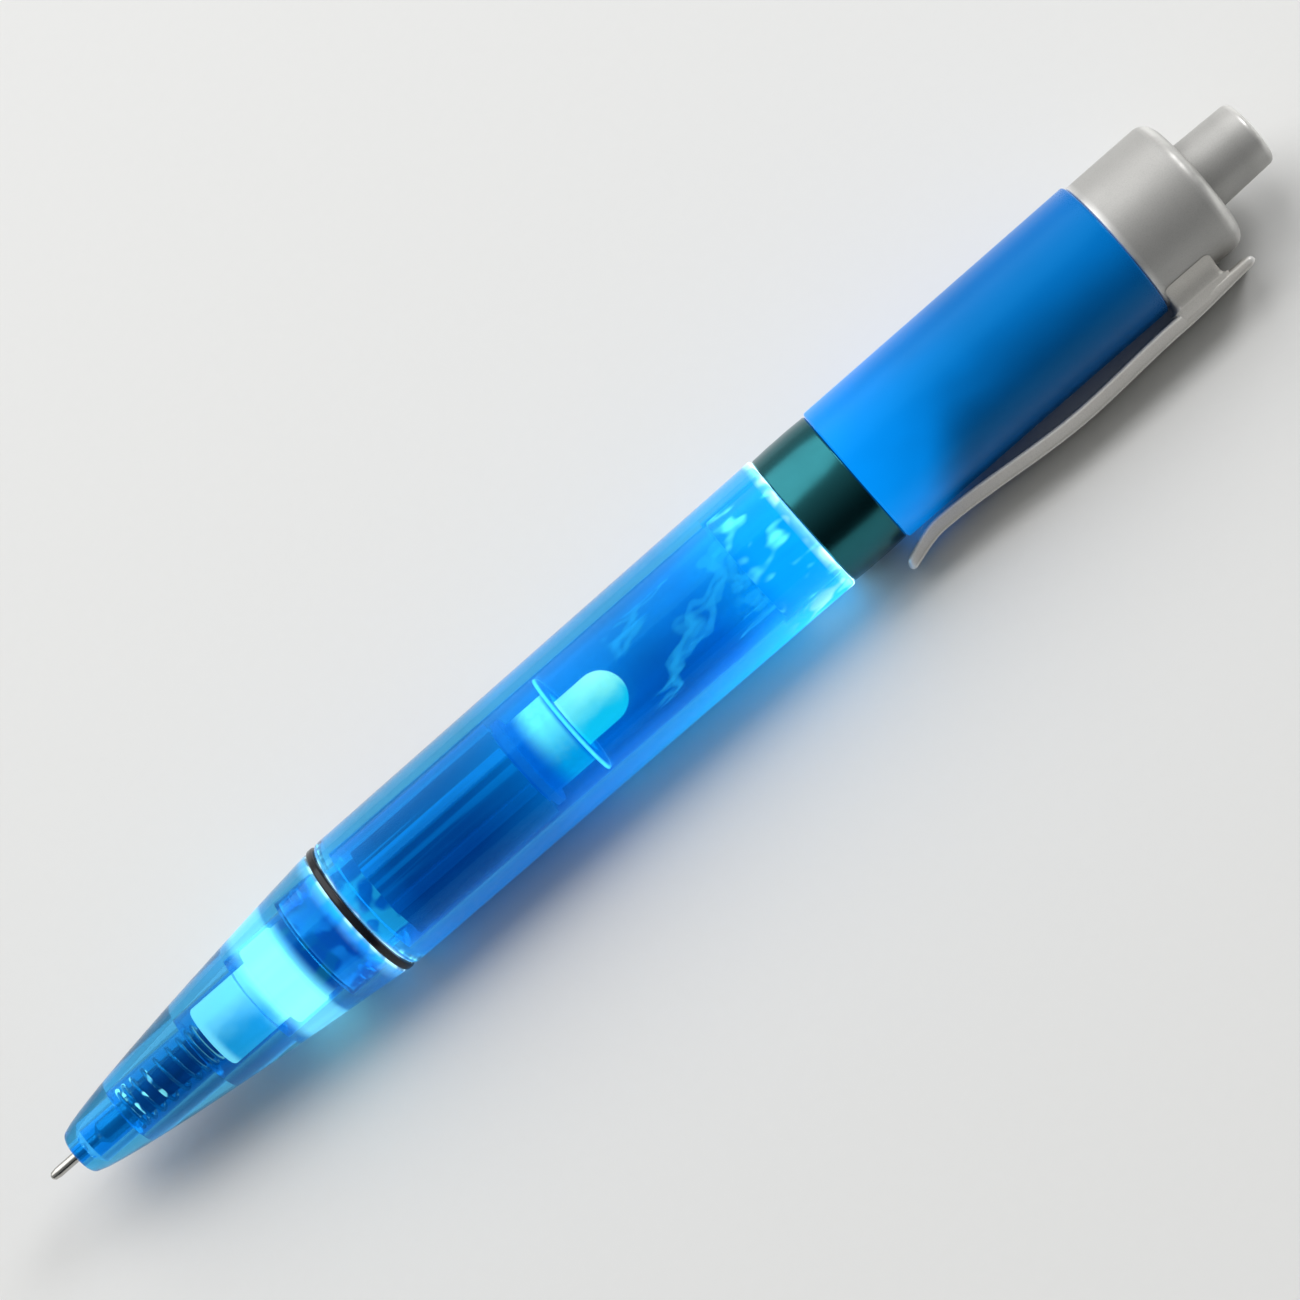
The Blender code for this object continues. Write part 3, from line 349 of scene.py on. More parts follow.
class InnerSizes(bpy.types.PropertyGroup):
    """Sizes of the refill, the lamp cartridge and the push tube."""

    needle_r: length("Needle radius", 0.0005, "Radius of the refill's needle")
    needle_taper: length("Needle taper", 0.0006, "Length of the needle's tapered tip")
    socket_rim: length("Socket rim", 0.0001, "How far the needle steps in round its ball, and dishes")
    shoulder: length("Point shoulder", 0.0027, "Height where the needle widens to the point")
    point_r: length("Point radius", 0.00115, "Radius of the refill's point")
    point_rear: length("Point rear", 0.0075, "Height of the point's rear shoulder")
    stub_r: length("Stub radius", 0.0008, "Radius of the stub in the ink tube")
    ball_r: length("Ball radius", 0.00035, "Radius of the writing ball")
    ink_tube_r: length("Ink tube radius", 0.0015, "Outer radius of the ink tube")
    ink_bore_r: length("Ink bore radius", 0.0011, "Bore of the ink tube")
    coil_r: length("Coil radius", 0.0020, "Radius of the return spring at the middle of its wire")
    coil_wire_r: length("Coil wire radius", 0.0002, "Radius of the return spring's wire")
    coil_turns: count("Coil turns", 9, "Turns of the return spring")
    coil_crowding: share("Coil crowding", 0.45, "How much the end turns close up")
    nozzle_r: length("Nozzle radius", 0.00315, "Radius of the carrier's nozzle")
    nozzle_round: length("Nozzle round", 0.0004, "Round of the nozzle's front rim")
    carrier_bore_r: length("Carrier bore radius", 0.0018, "Bore of the carrier for the refill")
    refill_end: length("Refill end", 0.0333, "Height where that bore ends")
    flange_front: length("Flange front", 0.0236, "Height of the flange's front face")
    flange_rear: length("Flange rear", 0.0271, "Height of the flange's rear face")
    flange_r: length("Flange radius", 0.0042, "Radius of the carrier's flange")
    plug_r: length("Plug radius", 0.00395, "Radius of the plug in the battery tube")
    tube_r: length("Tube radius", 0.00475, "Radius of the battery tube between its ribs")
    tube_bore_r: length("Tube bore radius", 0.00425, "Bore of the battery tube")
    ribs: count("Ribs", 8, "Ribs round the battery tube")
    rib_r: length("Rib radius", 0.00525, "Radius over the ribs")
    rib_half_width: length("Rib half width", 0.0005, "Half the width of a rib")
    rib_blend: share("Rib blend", 0.2, "Share of that half over which a rib's sides rise")
    cell_r: length("Cell radius", 0.00395, "Radius of a button cell")
    cell_cap_r: length("Cell cap radius", 0.0030, "Radius of a cell's raised cap")
    cell_step: length("Cell step", 0.0004, "Height of a cell's raised cap")
    holder_rim: length("Holder rim", 0.0540, "Height of the holder's rim on the tube")
    holder_rim_length: length("Holder rim length", 0.0008, "Length of that rim")
    holder_r: length("Holder radius", 0.0038, "Radius of the holder round the lamp")
    holder_gap: length("Holder gap", 0.0003, "Room round the holder in the tube, and before the lamp")
    lamp_pocket_r: length("Lamp pocket radius", 0.0032, "Radius of the lamp's pocket")
    plate_thick: length("Plate thickness", 0.00035, "Thickness of the holder's plate")
    lamp_r: length("Lamp radius", 0.0025, "Radius of the lamp's dome")
    lamp_flange_r: length("Lamp flange radius", 0.0029, "Radius of the lamp's flange")
    lamp_flange: length("Lamp flange", 0.0010, "Thickness of the lamp's flange")
    push_r: length("Push tube radius", 0.0042, "Outer radius of the push tube")
    push_bore_r: length("Push tube bore radius", 0.0031, "Bore of the push tube")


class ClipSizes(bpy.types.PropertyGroup):
    """Sizes of the clip; its reaches are radii from the pen's axis to the side that faces the barrel."""

    tip_reach: length("Tip reach", 0.00875, "Reach at the foot's tip")
    valley: length("Valley", 0.0960, "Height where the foot comes closest to the barrel")
    valley_reach: length("Valley reach", 0.00745, "Reach there")
    bow: length("Bow", 0.1119, "Height where the leaf stands furthest off")
    bow_reach: length("Bow reach", 0.0085, "Reach there")
    root: length("Root", 0.1229, "Height where the leaf meets its bridge")
    root_reach: length("Root reach", 0.0081, "Reach there and at the tail")
    tip_thick: length("Tip thickness", 0.0012, "Thickness at the foot's tip")
    thick: length("Thickness", 0.0015, "Thickness of the leaf")
    tail_thick: length("Tail thickness", 0.0010, "Thickness at the tail's end")
    foot_width: length("Foot width", 0.0044, "Width at the foot")
    root_width: length("Root width", 0.0060, "Width at the tail")
    foot_length: length("Foot length", 0.0046, "Length that draws in towards the tip")
    foot_narrowing: share("Foot narrowing", 0.6, "Share of the width that the tip loses")
    edge: length("Edge", 0.00032, "Round of the leaf's edges")
    crown: length("Crown", 0.00016, "Fall of the outer face towards its edges")
    end_round: length("End round", 0.0006, "Length over which the leaf's ends round off")
    bridge_front: length("Bridge front", 0.1239, "Height of the bridge's front")
    bridge_rear: length("Bridge rear", 0.1290, "Height of the bridge's rear")
    bridge_width: length("Bridge width", 0.0058, "Width of the bridge")
    bridge_gap: length("Bridge gap", 0.00005, "Room between the bridge and the cap")
    bridge_flare: length("Bridge flare", 0.0005, "Fillet between the bridge and the leaf")
    bridge_skirt: length("Bridge skirt", 0.0013, "Fillet between the bridge's sides and the cap")


class PenColours(bpy.types.PropertyGroup):
    """Colours of the pen's finishes, as linear light."""

    clear: tint("Clear tint", (0.065, 0.44, 0.78), "What a clear wall lets through")
    gloss: tint("Gloss", (0.04, 0.50, 0.85), "Tint of reflections on the blue and clear plastics")
    glow_deep: tint("Deep glow", (0.0002, 0.028, 0.100), "Light in the dark stretches of the clear shells")
    glow_mid: tint("Glow", (0.0004, 0.105, 0.300), "Light in the clear shells")
    glow_bright: tint("Bright glow", (0.006, 0.38, 0.70), "Light round the flange and the lamp")
    glow_white: tint("White glow", (0.62, 0.97, 0.99), "Light at the rims")
    plug: tint("Carrier", (0.80, 0.86, 0.86), "White plastic of the refill carrier")
    plug_lit: tint("Lit carrier", (1.0, 0.62, 0.40), "Light on the carrier's flange")
    plug_side: tint("Carrier side", (0.10, 0.42, 0.42), "Light on the carrier's nozzle")
    tube: tint("Battery tube", (0.004, 0.06, 0.16), "Plastic of the battery tube")
    lamp: tint("Lamp", (0.013, 0.235, 0.17), "Light of the lamp's lens")
    lamp_core: tint("Lamp core", (1.0, 0.52, 0.20), "Light of the lamp's middle")
    holder_lit: tint("Lit holder", (1.0, 0.95, 0.40), "Light on the holder round the lamp")
    holder_side: tint("Holder side", (0.01, 0.55, 0.44), "Light low on the holder")
    push_lit: tint("Lit push tube", (0.20, 0.62, 0.60), "Light caught by the push tube")
    blue: tint("Blue", (0.0005, 0.105, 0.36), "Plastic of the upper barrel")
    blue_lit: tint("Lit blue", (0.0004, 0.25, 0.82), "Light in the upper barrel by the ring")
    spigot_lit: tint("Lit spigot", (0.02, 0.52, 0.82), "Light on the upper barrel's front spigot")
    # Painted glints: spots of light painted on the spigot
    painted_glint: tint("Sparkle", (0.80, 0.86, 0.42), "Bright spots on that spigot")
    silver: tint("Silver", (0.46, 0.455, 0.44), "Paint of the cap and button")
    # The cap's paint made lighter for the clip: painted light
    clip: tint("Clip silver", (0.66, 0.64, 0.60), "Paint of the clip")
    # Dark teal: the plating darkened as painted shade in its reflections
    mirror: tint("Mirror", (0.024, 0.155, 0.18), "Plating of the centre ring")
    black: tint("Black", (0.006, 0.007, 0.010), "Plastic of the joint ring")
    steel: tint("Steel", (0.58, 0.57, 0.54), "Steel of the refill, springs and cells")
    brass: tint("Brass", (0.70, 0.50, 0.22), "Brass of the contacts")
    ink: tint("Ink", (0.006, 0.012, 0.06), "Ink tube")
    floor: tint("Floor", (0.78, 0.78, 0.77), "Studio floor")


class StudioSettings(bpy.types.PropertyGroup):
    """Camera and light."""

    distance: length("Camera distance", 0.358, "From the camera to the pen")
    aim: length("Aim", 0.0691, "Height on the pen that the camera looks at")
    aim_off: length("Aim off axis", 0.00036, "How far the aim lies from the axis, away from the clip")
    lens: number("Lens", 111, "Focal length in millimetres", unit="CAMERA")
    slope: number("Slope", math.radians(41.15), "Slope of the pen in the picture", subtype="ANGLE")
    tilt: number("Tilt", 0.072, "How far the button end leans to the camera", subtype="ANGLE")
    key_power: number("Key power", 5.5, "Power of the soft box", unit="POWER")
    rim_power: number("Rim power", 1.6, "Power of the small box at the button end", unit="POWER")
    fill: number("Fill", 0.55, "Strength of the room's light", min=0)


def in_pen(to_clip, away, height):
    """World places of pen coordinates: out to the clip, away from the camera's side, and along the axis."""
    across = to_clip[..., None] * TO_CLIP - away[..., None] * TO_CAMERA
    return PEN_ORIGIN + across + height[..., None] * ALONG


def on_axis(height):
    """World place of a height on the pen's axis."""
    return PEN_ORIGIN + height * ALONG


def bell(heights, middle, width):
    """1 at the middle, and falling off to both sides as a bell curve."""
    return np.exp(-(((heights - middle) / width) ** 2))


def arc(radius, middle, turn, points):
    """Profile of a ball or dome round a height on the axis, from its rear pole through a turn."""
    polar = np.linspace(0, turn, points)
    return np.column_stack((radius * np.sin(polar), middle + radius * np.cos(polar)))


def fillet(before, corner, after, radius):
    """Arc tangent to both sides of a corner, by turning evenly from one tangent point to the other.

    It takes at most 45% of the shorter side.
    """
    to_before = before - corner
    to_after = after - corner
    sides = np.linalg.norm(to_before), np.linalg.norm(to_after)
    to_before = to_before / sides[0]
    to_after = to_after / sides[1]
    half = np.arccos(np.clip(to_before @ to_after, -1, 1)) / 2
    reach = min(radius / np.tan(half), 0.45 * min(sides))
    bisector = to_before + to_after
    centre = corner + bisector / np.linalg.norm(bisector) * reach / np.cos(half)
    start = corner + to_before * reach - centre
    end = corner + to_after * reach - centre
    sweep = np.pi - 2 * half
    turn = np.linspace(0, 1, FILLET_POINTS)[:, None]
    return centre + (np.sin((1 - turn) * sweep) * start + np.sin(turn * sweep) * end) / np.sin(sweep)


def profile(*corners):
    """Points of a profile through (radius, height) corners, as rows of radius and height.

    A corner's third number is its fillet's radius, and its fourth splits the side after it into that many.
    """
    places = np.array([corner[:2] for corner in corners], float)
    points = []
    for i, corner in enumerate(corners):
        after = places[(i + 1) % len(corners)]
        rounding = corner[2] if len(corner) > 2 else 0
        points.append(fillet(places[i - 1], places[i], after, rounding) if rounding else places[i : i + 1])
        if len(corner) > 3:
            along = np.linspace(0, 1, corner[3], endpoint=False)[1:, None]
            points.append(places[i] + along * (after - places[i]))
    return np.vstack(points)


def turned(points, around, ripple, lift):
    """Surface of revolution: each profile point's radius and height carried round the axis.

    ripple(radius, height, angle) is added to the radius, and lift to the height.
    """
    angle = np.linspace(0, math.tau, around, endpoint=False)[None]
    radius = points[:, :1] + 0 * angle
    height = points[:, 1:] + 0 * angle
    if lift:
        height = height + lift(radius, height, angle)
    if ripple:
        radius = radius + ripple(radius, height, angle)
    return in_pen(radius * np.cos(angle), radius * np.sin(angle), height)


def triangle_wave(phase):
    """0 at whole phases and 1 half-way between them."""
    return 1 - np.abs(2 * (phase % 1) - 1)


def grid_faces(rows, columns, ring):
    """Quads of a grid whose columns close round, and whose rows close too where it is a ring."""
    index = np.arange(rows * columns).reshape(rows, columns)
    if ring:
        index = np.vstack((index, index[:1]))
    beside = np.roll(index, -1, 1)
    return np.stack((index[:-1], beside[:-1], beside[1:], index[1:]), -1).reshape(-1, 4)


def capped(grid):
    """A grid with both ends drawn together to their middles, which closes an open tube."""
    first = np.broadcast_to(grid[:1].mean(1, keepdims=True), grid[:1].shape)
    last = np.broadcast_to(grid[-1:].mean(1, keepdims=True), grid[-1:].shape)
    return np.concatenate((first, grid, last))


def smooth_curve(knots, values, at):
    """Cubic through knots that keeps to their rises and falls: its slope is the harmonic mean of the two
    sides' slopes where they agree in sign, and level where they don't."""
    knots = np.array(knots)
    values = np.array(values)
    steps = np.diff(knots)
    rises = np.diff(values) / steps
    agree = rises[:-1] * rises[1:] > 0
    total = np.where(agree, rises[:-1] + rises[1:], 1)
    inner = np.where(agree, 2 * rises[:-1] * rises[1:] / total, 0)
    slopes = np.concatenate((rises[:1], inner, rises[-1:]))
    piece = np.clip(np.searchsorted(knots, at) - 1, 0, len(steps) - 1)
    step = steps[piece]
    t = (at - knots[piece]) / step
    return (
        values[piece] * (1 + 2 * t) * (1 - t) ** 2
        + slopes[piece] * step * t * (1 - t) ** 2
        + values[piece + 1] * t**2 * (3 - 2 * t)
        + slopes[piece + 1] * step * t**2 * (t - 1)
    )


def quarter_round(part):
    """Height of a quarter circle: level at 0 and upright at 1, where it has risen by 1."""
    return 1 - np.sqrt(1 - part**2)


def rounded_section(half_x, half_y, edge):
    """Rectangle with round corners: each quarter turn moves a corner's centre and sweeps its arc.

    Sizes are columns, one row per station; the result has one column per point round the section.
    """
    quarter = np.linspace(0, np.pi / 2, CORNER_POINTS)
    angle = (np.arange(4)[:, None] * np.pi / 2 + quarter).ravel()[None]
    side_x = np.repeat((1, -1, -1, 1), CORNER_POINTS)[None]
    side_y = np.repeat((1, 1, -1, -1), CORNER_POINTS)[None]
    return (
        side_x * (half_x - edge) + edge * np.cos(angle),
        side_y * (half_y - edge) + edge * np.sin(angle),
    )


def add_piece(name, grids, ring=False, marks=None):
    """Puts grids of points into one closed mesh that rides on its body and stands for its CAD node.

    marks are named values for each point, which the finish reads as attributes.
    """
    node, body, slot, finish = PIECES[name]
    points = np.concatenate([grid.reshape(-1, 3) for grid in grids])
    faces = []
    start = 0
    for grid in grids:
        faces.append(grid_faces(grid.shape[0], grid.shape[1], ring) + start)
        start += grid.shape[0] * grid.shape[1]
    mesh = bpy.data.meshes.new(name)
    mesh.from_pydata(points.tolist(), [], np.concatenate(faces).tolist())
    for mark, values in (marks or {}).items():
        attribute = mesh.attributes.new(mark, "FLOAT", "POINT")
        attribute.data.foreach_set("value", np.asarray(values, np.float32).ravel())
    shape = bmesh.new()
    shape.from_mesh(mesh)
    bmesh.ops.remove_doubles(shape, verts=shape.verts, dist=MERGE)
    bmesh.ops.recalc_face_normals(shape, faces=shape.faces)
    shape.to_mesh(mesh)
    shape.free()
    mesh.shade_smooth()
    mesh.set_sharp_from_angle(angle=SHARP)
    mesh.materials.append(finished(finish))
    piece = bpy.data.objects.new(name, mesh)
    bpy.context.scene.collection.objects.link(piece)
    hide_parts(node)
    if body:
        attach(piece, body)
    return piece


def add_turned(name, points, around=AROUND, ripple=None, lift=None, **marks):
    """Adds a turned piece, whose profile closes on itself unless it starts on the axis.

    A mark has one value for each point of the profile, or one for each point of the surface.
    """
    for mark, values in marks.items():
        marks[mark] = values if values.ndim == 2 else np.repeat(values, around)
    return add_piece(name, [turned(points, around, ripple, lift)], points[0, 0] > 0, marks)


def shell_marks(points, outer_r, rim):
    """Marks of a clear shell: its bore, its rims, and how far an outer point faces the clip's side, where the
    finish paints light along the wall.
    """
    bore = (points[:, 0] < BORE_SHARE * outer_r) * 1.0
    angle = np.linspace(0, math.tau, AROUND, endpoint=False)
    return {"bore": bore, "rim": rim, "edge": np.outer(1 - bore, np.cos(angle))}


def shader_operator(operation, reflected=False):
    """Method that adds a Math node, with its two sides changed over where it is reflected."""

    def method(self, other):
        first, second = (other, self) if reflected else (self, other)
        return self.finish.node("ShaderNodeMath", {"operation": operation}, {0: first, 1: second})

    return method


class Value:
    """A shader value: each operator on it adds a Math node, and | gives the larger of two values."""

    def __init__(self, finish, socket):
        self.finish = finish
        self.socket = socket

    __add__ = shader_operator("ADD")
    __radd__ = shader_operator("ADD", reflected=True)
    __sub__ = shader_operator("SUBTRACT")
    __rsub__ = shader_operator("SUBTRACT", reflected=True)
    __mul__ = shader_operator("MULTIPLY")
    __rmul__ = shader_operator("MULTIPLY", reflected=True)
    __truediv__ = shader_operator("DIVIDE")
    __pow__ = shader_operator("POWER")
    __or__ = shader_operator("MAXIMUM")


class Finish:
    """A material in the making; node() adds any node."""

    def __init__(self, name, tree=None):
        if tree is None:
            self.material = bpy.data.materials.new(name)
            self.material.use_nodes = True
            tree = self.material.node_tree
            self.shader = tree.nodes["Principled BSDF"]
        self.tree = tree
        self.objects = None

    def node(self, kind, settings=None, inputs=None, output=None):
        """Adds a node: its settings come first, then its sockets, by name or number.

        Gives the value of one output, which is the first where none is named.
        """
        node = self.tree.nodes.new(kind)
        for name, value in (settings or {}).items():
            if name == "stops":
                self.set_stops(node.color_ramp.elements, value)
            else:
                setattr(node, name, value)
        for name, value in (inputs or {}).items():
            self.feed(self.find(node.inputs, name), value)
        return Value(self, self.find(node.outputs, output))

    @staticmethod
    def find(sockets, name):
        """A socket by its number, or the first in use that has the name."""
        if isinstance(name, int):
            return sockets[name]
        return next(socket for socket in sockets if socket.enabled and name in (None, socket.name))

    @staticmethod
    def set_stops(elements, stops):
        """Gives a colour ramp its stops; it starts with two."""
        for i, (place, colour) in enumerate(stops):
            stop = elements[i] if i < 2 else elements.new(place)
            stop.position = place
            stop.color = (*colour, 1)

    def feed(self, socket, value):
        """Links a value to a socket, or sets the socket to a number or a colour."""
        if isinstance(value, Value):
            self.tree.links.new(value.socket, socket)
        elif socket.type == "RGBA" and len(value) == 3:
            socket.default_value = (*value, 1)
        else:
            socket.default_value = value

    def surface(self, **sockets):
        """Feeds the shader's sockets, named with underscores, and gives the finished material."""
        for name, value in sockets.items():
            self.feed(self.shader.inputs[name.replace("_", " ").title().replace("Ior", "IOR")], value)
        return self.material

    def place(self):
        """Object coordinates."""
        if self.objects is None:
            self.objects = self.node("ShaderNodeTexCoord", output="Object")
        return self.objects

    def dot(self, vector, direction):
        """Dot product of a vector with a direction."""
        settings = {"operation": "DOT_PRODUCT"}
        return self.node("ShaderNodeVectorMath", settings, {0: vector, 1: direction}, "Value")

    def towards(self, direction):
        """Distance from the nose rim's centre along a direction, in millimetres."""
        settings = {"operation": "SUBTRACT"}
        off = self.node("ShaderNodeVectorMath", settings, {0: self.place(), 1: PEN_ORIGIN})
        return self.dot(off, Vector(direction) / MILLIMETRE)

    def mark(self, name):
        """A mark of the piece, 0 where it has none."""
        return self.node("ShaderNodeAttribute", {"attribute_name": name}, output="Fac")

    def ease(self, value, low, high):
        """0 below low, 1 above high, and a smooth step between."""
        settings = {"interpolation_type": "SMOOTHSTEP"}
        inputs = {"Value": value, "From Min": low, "From Max": high}
        return self.node("ShaderNodeMapRange", settings, inputs)

    def noise(self, along, across, detail=2):
        """Cloudy noise whose lumps have a size along the pen and one across it, in millimetres."""
        scale = tuple(1 / (size * MILLIMETRE) for size in (along, across, across))
        stretched = self.node("ShaderNodeMapping", None, {"Vector": self.place(), "Scale": scale})
        inputs = {"Vector": stretched, "Scale": 1.0, "Detail": detail}
        return self.node("ShaderNodeTexNoise", None, inputs, "Fac")

    def mix(self, factor, first, second):
        """First colour at factor 0 and second at 1."""
        settings = {"data_type": "RGBA"}
        return self.node("ShaderNodeMix", settings, {"Factor": factor, "A": first, "B": second})

    def fade(self, factor, colour, part):
        """A colour at factor 0, and a part of it at 1."""
        return self.mix(factor, colour, shade(colour, part))

    def ramp(self, value, stops):
        """Colour that runs through (place, colour) stops."""
        return self.node("ShaderNodeValToRGB", {"stops": stops}, {"Fac": value}, "Color")

    def add(self, first, second):
        """Sum of two colours."""
        settings = {"data_type": "RGBA", "blend_type": "ADD"}
        return self.node("ShaderNodeMix", settings, {"Factor": 1.0, "A": first, "B": second})

    def times(self, colour, value):
        """A colour made brighter or darker by a value."""
        return self.node("ShaderNodeVectorMath", {"operation": "SCALE"}, {0: colour, "Scale": value})

    def bump(self, relief, depth, strength):
        """Relief of a depth in thousandths of a millimetre."""
        inputs = {"Height": relief, "Distance": depth * MICRON, "Strength": strength}
        return self.node("ShaderNodeBump", None, inputs, "Normal")


def shade(colour, part):
    """A colour made darker, or brighter where the part is more than 1."""
    return tuple(part * channel for channel in colour)


def mm(height):
    """A height in millimetres."""
    return height / MILLIMETRE


def clear_finish(colour):
    """Tinted clear plastic whose bores carry the lamp's light as painted light, brightest at the flange, lamp
    and rims, with painted light also along the outer wall on the clip's side.
    """
    finish = Finish("clear_plastic")
    height = finish.towards(ALONG)
    reach = mm(lower_rear)
    stops = [(place / reach, shade(getattr(colour, glow), part)) for place, glow, part in GLOW_ALONG]
    light = finish.ramp(height / reach, stops)
    streaks = finish.noise(30, 1.6, 3)
    clouds = finish.noise(6, 4)
    wavering = 0.35 + 0.9 * streaks * (0.5 + clouds)
    glow = finish.times(light, finish.mark("bore") * wavering)
    beads = finish.ease(finish.noise(3, 2.2, 1), 0.47, 0.60)
    glow = finish.add(glow, finish.times(colour.glow_white, finish.mark("rim") * (0.22 + 0.78 * beads)))
    piped = finish.mix(finish.ease(height, 56, 80), colour.glow_mid, colour.glow_bright)
    piped = finish.mix(finish.ease(height, 79, 84.5) * beads, piped, colour.glow_white)
    # Painted light along the outer wall on the clip's side, from about 24 mm back, whiter near the rear rim
    painted_side_light = finish.ease(finish.mark("edge"), 0.74, 1) * finish.ease(height, 24, 40)
    glow = finish.add(glow, finish.times(piped, painted_side_light * (0.45 + 0.5 * streaks)))
    scratches = finish.noise(4, 0.2, 4)
    return finish.surface(
        base_color=finish.fade(clouds, colour.clear, 0.88),
        roughness=0.02 + 0.06 * scratches,
        transmission_weight=1,
        IOR=1.49,
        specular_tint=colour.gloss,
        emission_color=glow,
        emission_strength=1,
        normal=finish.bump(scratches, 10, 0.07),
    )


def blue_finish(colour):
    """Satin blue plastic with painted light: lit from the ring end and shaded towards the clip, with painted
    glints on its spigot.
    """
    finish = Finish("blue_plastic")
    height = finish.towards(ALONG)
    strength = 3.0
    clouds = finish.noise(10, 6)
    grain = finish.noise(0.12, 0.12)
    ring_end = mm(ring_rear)
    near = 1 - finish.ease(height + 8 * clouds, ring_end - 2, ring_end + 22)
    lit = shade(colour.blue_lit, 1 / strength)
    glow = finish.mix(near, shade(lit, 0.30), lit)
    further = finish.ease(height, ring_end + 1, ring_end + 12)
    shaded = finish.ease(finish.towards(TO_CLIP) + 2 * clouds + 7 * further, 5.5, 12.5)
    glow = finish.times(glow, 1 - 0.9 * shaded)
    # Painted glints of light on the spigot seen through the clear barrel
    painted_glint = finish.ease(finish.noise(3, 1.4, 1), 0.53, 0.72)
    inserted = 1 - finish.ease(height, mm(ring_front) - 0.6, mm(ring_front))
    deeper = finish.ease(height, mm(upper_spigot_front) - 1, mm(upper_spigot_front) + 2)
    glow = finish.mix(inserted * deeper, glow, shade(colour.spigot_lit, 1 / strength))
    glow = finish.mix(painted_glint * inserted * deeper, glow, colour.painted_glint)
    return finish.surface(
        base_color=finish.fade(clouds, colour.blue, 0.8),
        roughness=0.26 + 0.10 * grain - 0.06 * finish.mark("rim"),
        specular_tint=colour.gloss,
        emission_color=glow,
        emission_strength=strength,
        normal=finish.bump(grain, 6, 0.35),
    )


def silver_paint(name, silver):
    """Silver paint with fine flakes, a little brighter and smoother at its marked rims: wear from rubbing
    there, and a painted highlight.
    """
    finish = Finish(name)
    inputs = {"Vector": finish.place(), "Scale": 9000.0}
    flakes = finish.node("ShaderNodeTexVoronoi", {"feature": "F1"}, inputs, "Distance")
    clouds = finish.noise(4, 3, 3)
    # Rims brighter and smoother: wear from rubbing, and a painted highlight
    wear_and_highlight = finish.mark("rim") * finish.ease(clouds, 0.2, 0.6)
    paint = finish.mix(0.5 * flakes + 0.5 * clouds, shade(silver, 1.12), shade(silver, 0.84))
    worn_and_highlit = tuple(min(1, channel) for channel in shade(silver, 2.1))
    return finish.surface(
        base_color=finish.mix(wear_and_highlight * 0.8, paint, worn_and_highlit),
        metallic=0.40,
        roughness=0.44 + 0.10 * clouds - 0.22 * wear_and_highlight,
        normal=finish.bump(flakes, 4, 0.3),
    )


def silver_finish(colour):
    """Silver of the cap and the button."""
    return silver_paint("silver_paint", colour.silver)


def lit_clip_finish(colour):
    """Silver of the clip, the paint made lighter than the cap's as painted light."""
    return silver_paint("clip_paint", colour.clip)


def plain_finish(name, colour, part, lumps, gloss, relief, lines=None, **constants):
    """A finish whose tone goes to a part of itself in lumps, with fine lines, or else the lumps, in relief.

    lumps and lines are sizes of noise, gloss is the roughness and what lumps and lines add to it, and relief
    is the bump's depth and strength.
    """
    finish = Finish(name)
    blotches = finish.noise(*lumps)
    fine = finish.noise(*lines) if lines else blotches
    roughness, by_lumps, by_lines = gloss
    if by_lumps:
        roughness = roughness + by_lumps * blotches
    if by_lines:
        roughness = roughness + by_lines * fine
    return finish.surface(
        base_color=finish.fade(blotches, colour, part),
        roughness=roughness,
        normal=finish.bump(fine, *relief),
        **constants,
    )


def mirror_finish(colour):
    """Bright plating with fine polishing lines round it; its tint is darkened to a deep teal as painted shade
    in its reflections.
    """
    gloss = (0.17, 0.08, 0.04)
    lines = (0.08, 3, 3)
    return plain_finish("mirror_plating", colour.mirror, 0.82, (3, 2, 3), gloss, (2, 0.25), lines, metallic=1)


def black_finish(colour):
    """Glossy black plastic with faint handling marks."""
    gloss = (0.14, 0.14, 0)
    marks = (0.6, 1.2, 4)
    return plain_finish("black_plastic", colour.black, 2.2, marks, gloss, (5, 0.2), specular_ior_level=0.3)


def steel_finish(colour):
    """Drawn steel with fine lines along the pen."""
    gloss = (0.18, 0, 0.14)
    lines = (4, 0.06, 3)
    return plain_finish("drawn_steel", colour.steel, 0.72, (2, 1.5, 3), gloss, (2, 0.3), lines, metallic=1)


def brass_finish(colour):
    """Rolled brass, a little tarnished."""
    gloss = (0.22, 0.22, 0)
    lines = (6, 0.1, 2)
    return plain_finish("contact_brass", colour.brass, 0.55, (2, 1.2, 4), gloss, (2, 0.3), lines, metallic=1)


def cell_finish(colour):
    """Nickelled cell can with faint turning rings."""
    return plain_finish("cell_can", colour.steel, 0.7, (0.3, 3, 3), (0.2, 0.15, 0), (3, 0.3), metallic=1)


def cam_finish(colour):
    """White acetal of the click cam, slightly waxy."""
    return plain_finish("cam_plastic", colour.plug, 0.9, (1.5, 1.2, 3), (0.3, 0.2, 0), (20, 0.3))


def spring_finish(colour):
    """Spring wire that takes the lamp's light, with bright glints on some of its front turns."""
    finish = Finish("spring_wire")
    glints = finish.noise(1.6, 1.8, 1)
    front = 1 - finish.ease(finish.towards(ALONG), 9, 12)
    shine = finish.ease(glints, 0.55, 0.62) * front
    return finish.surface(
        base_color=finish.fade(glints, colour.steel, 0.6),
        metallic=1,
        roughness=0.16 + 0.16 * glints,
        emission_color=finish.mix(shine, shade(colour.glow_deep, 0.1), colour.plug_lit),
        emission_strength=4,
    )


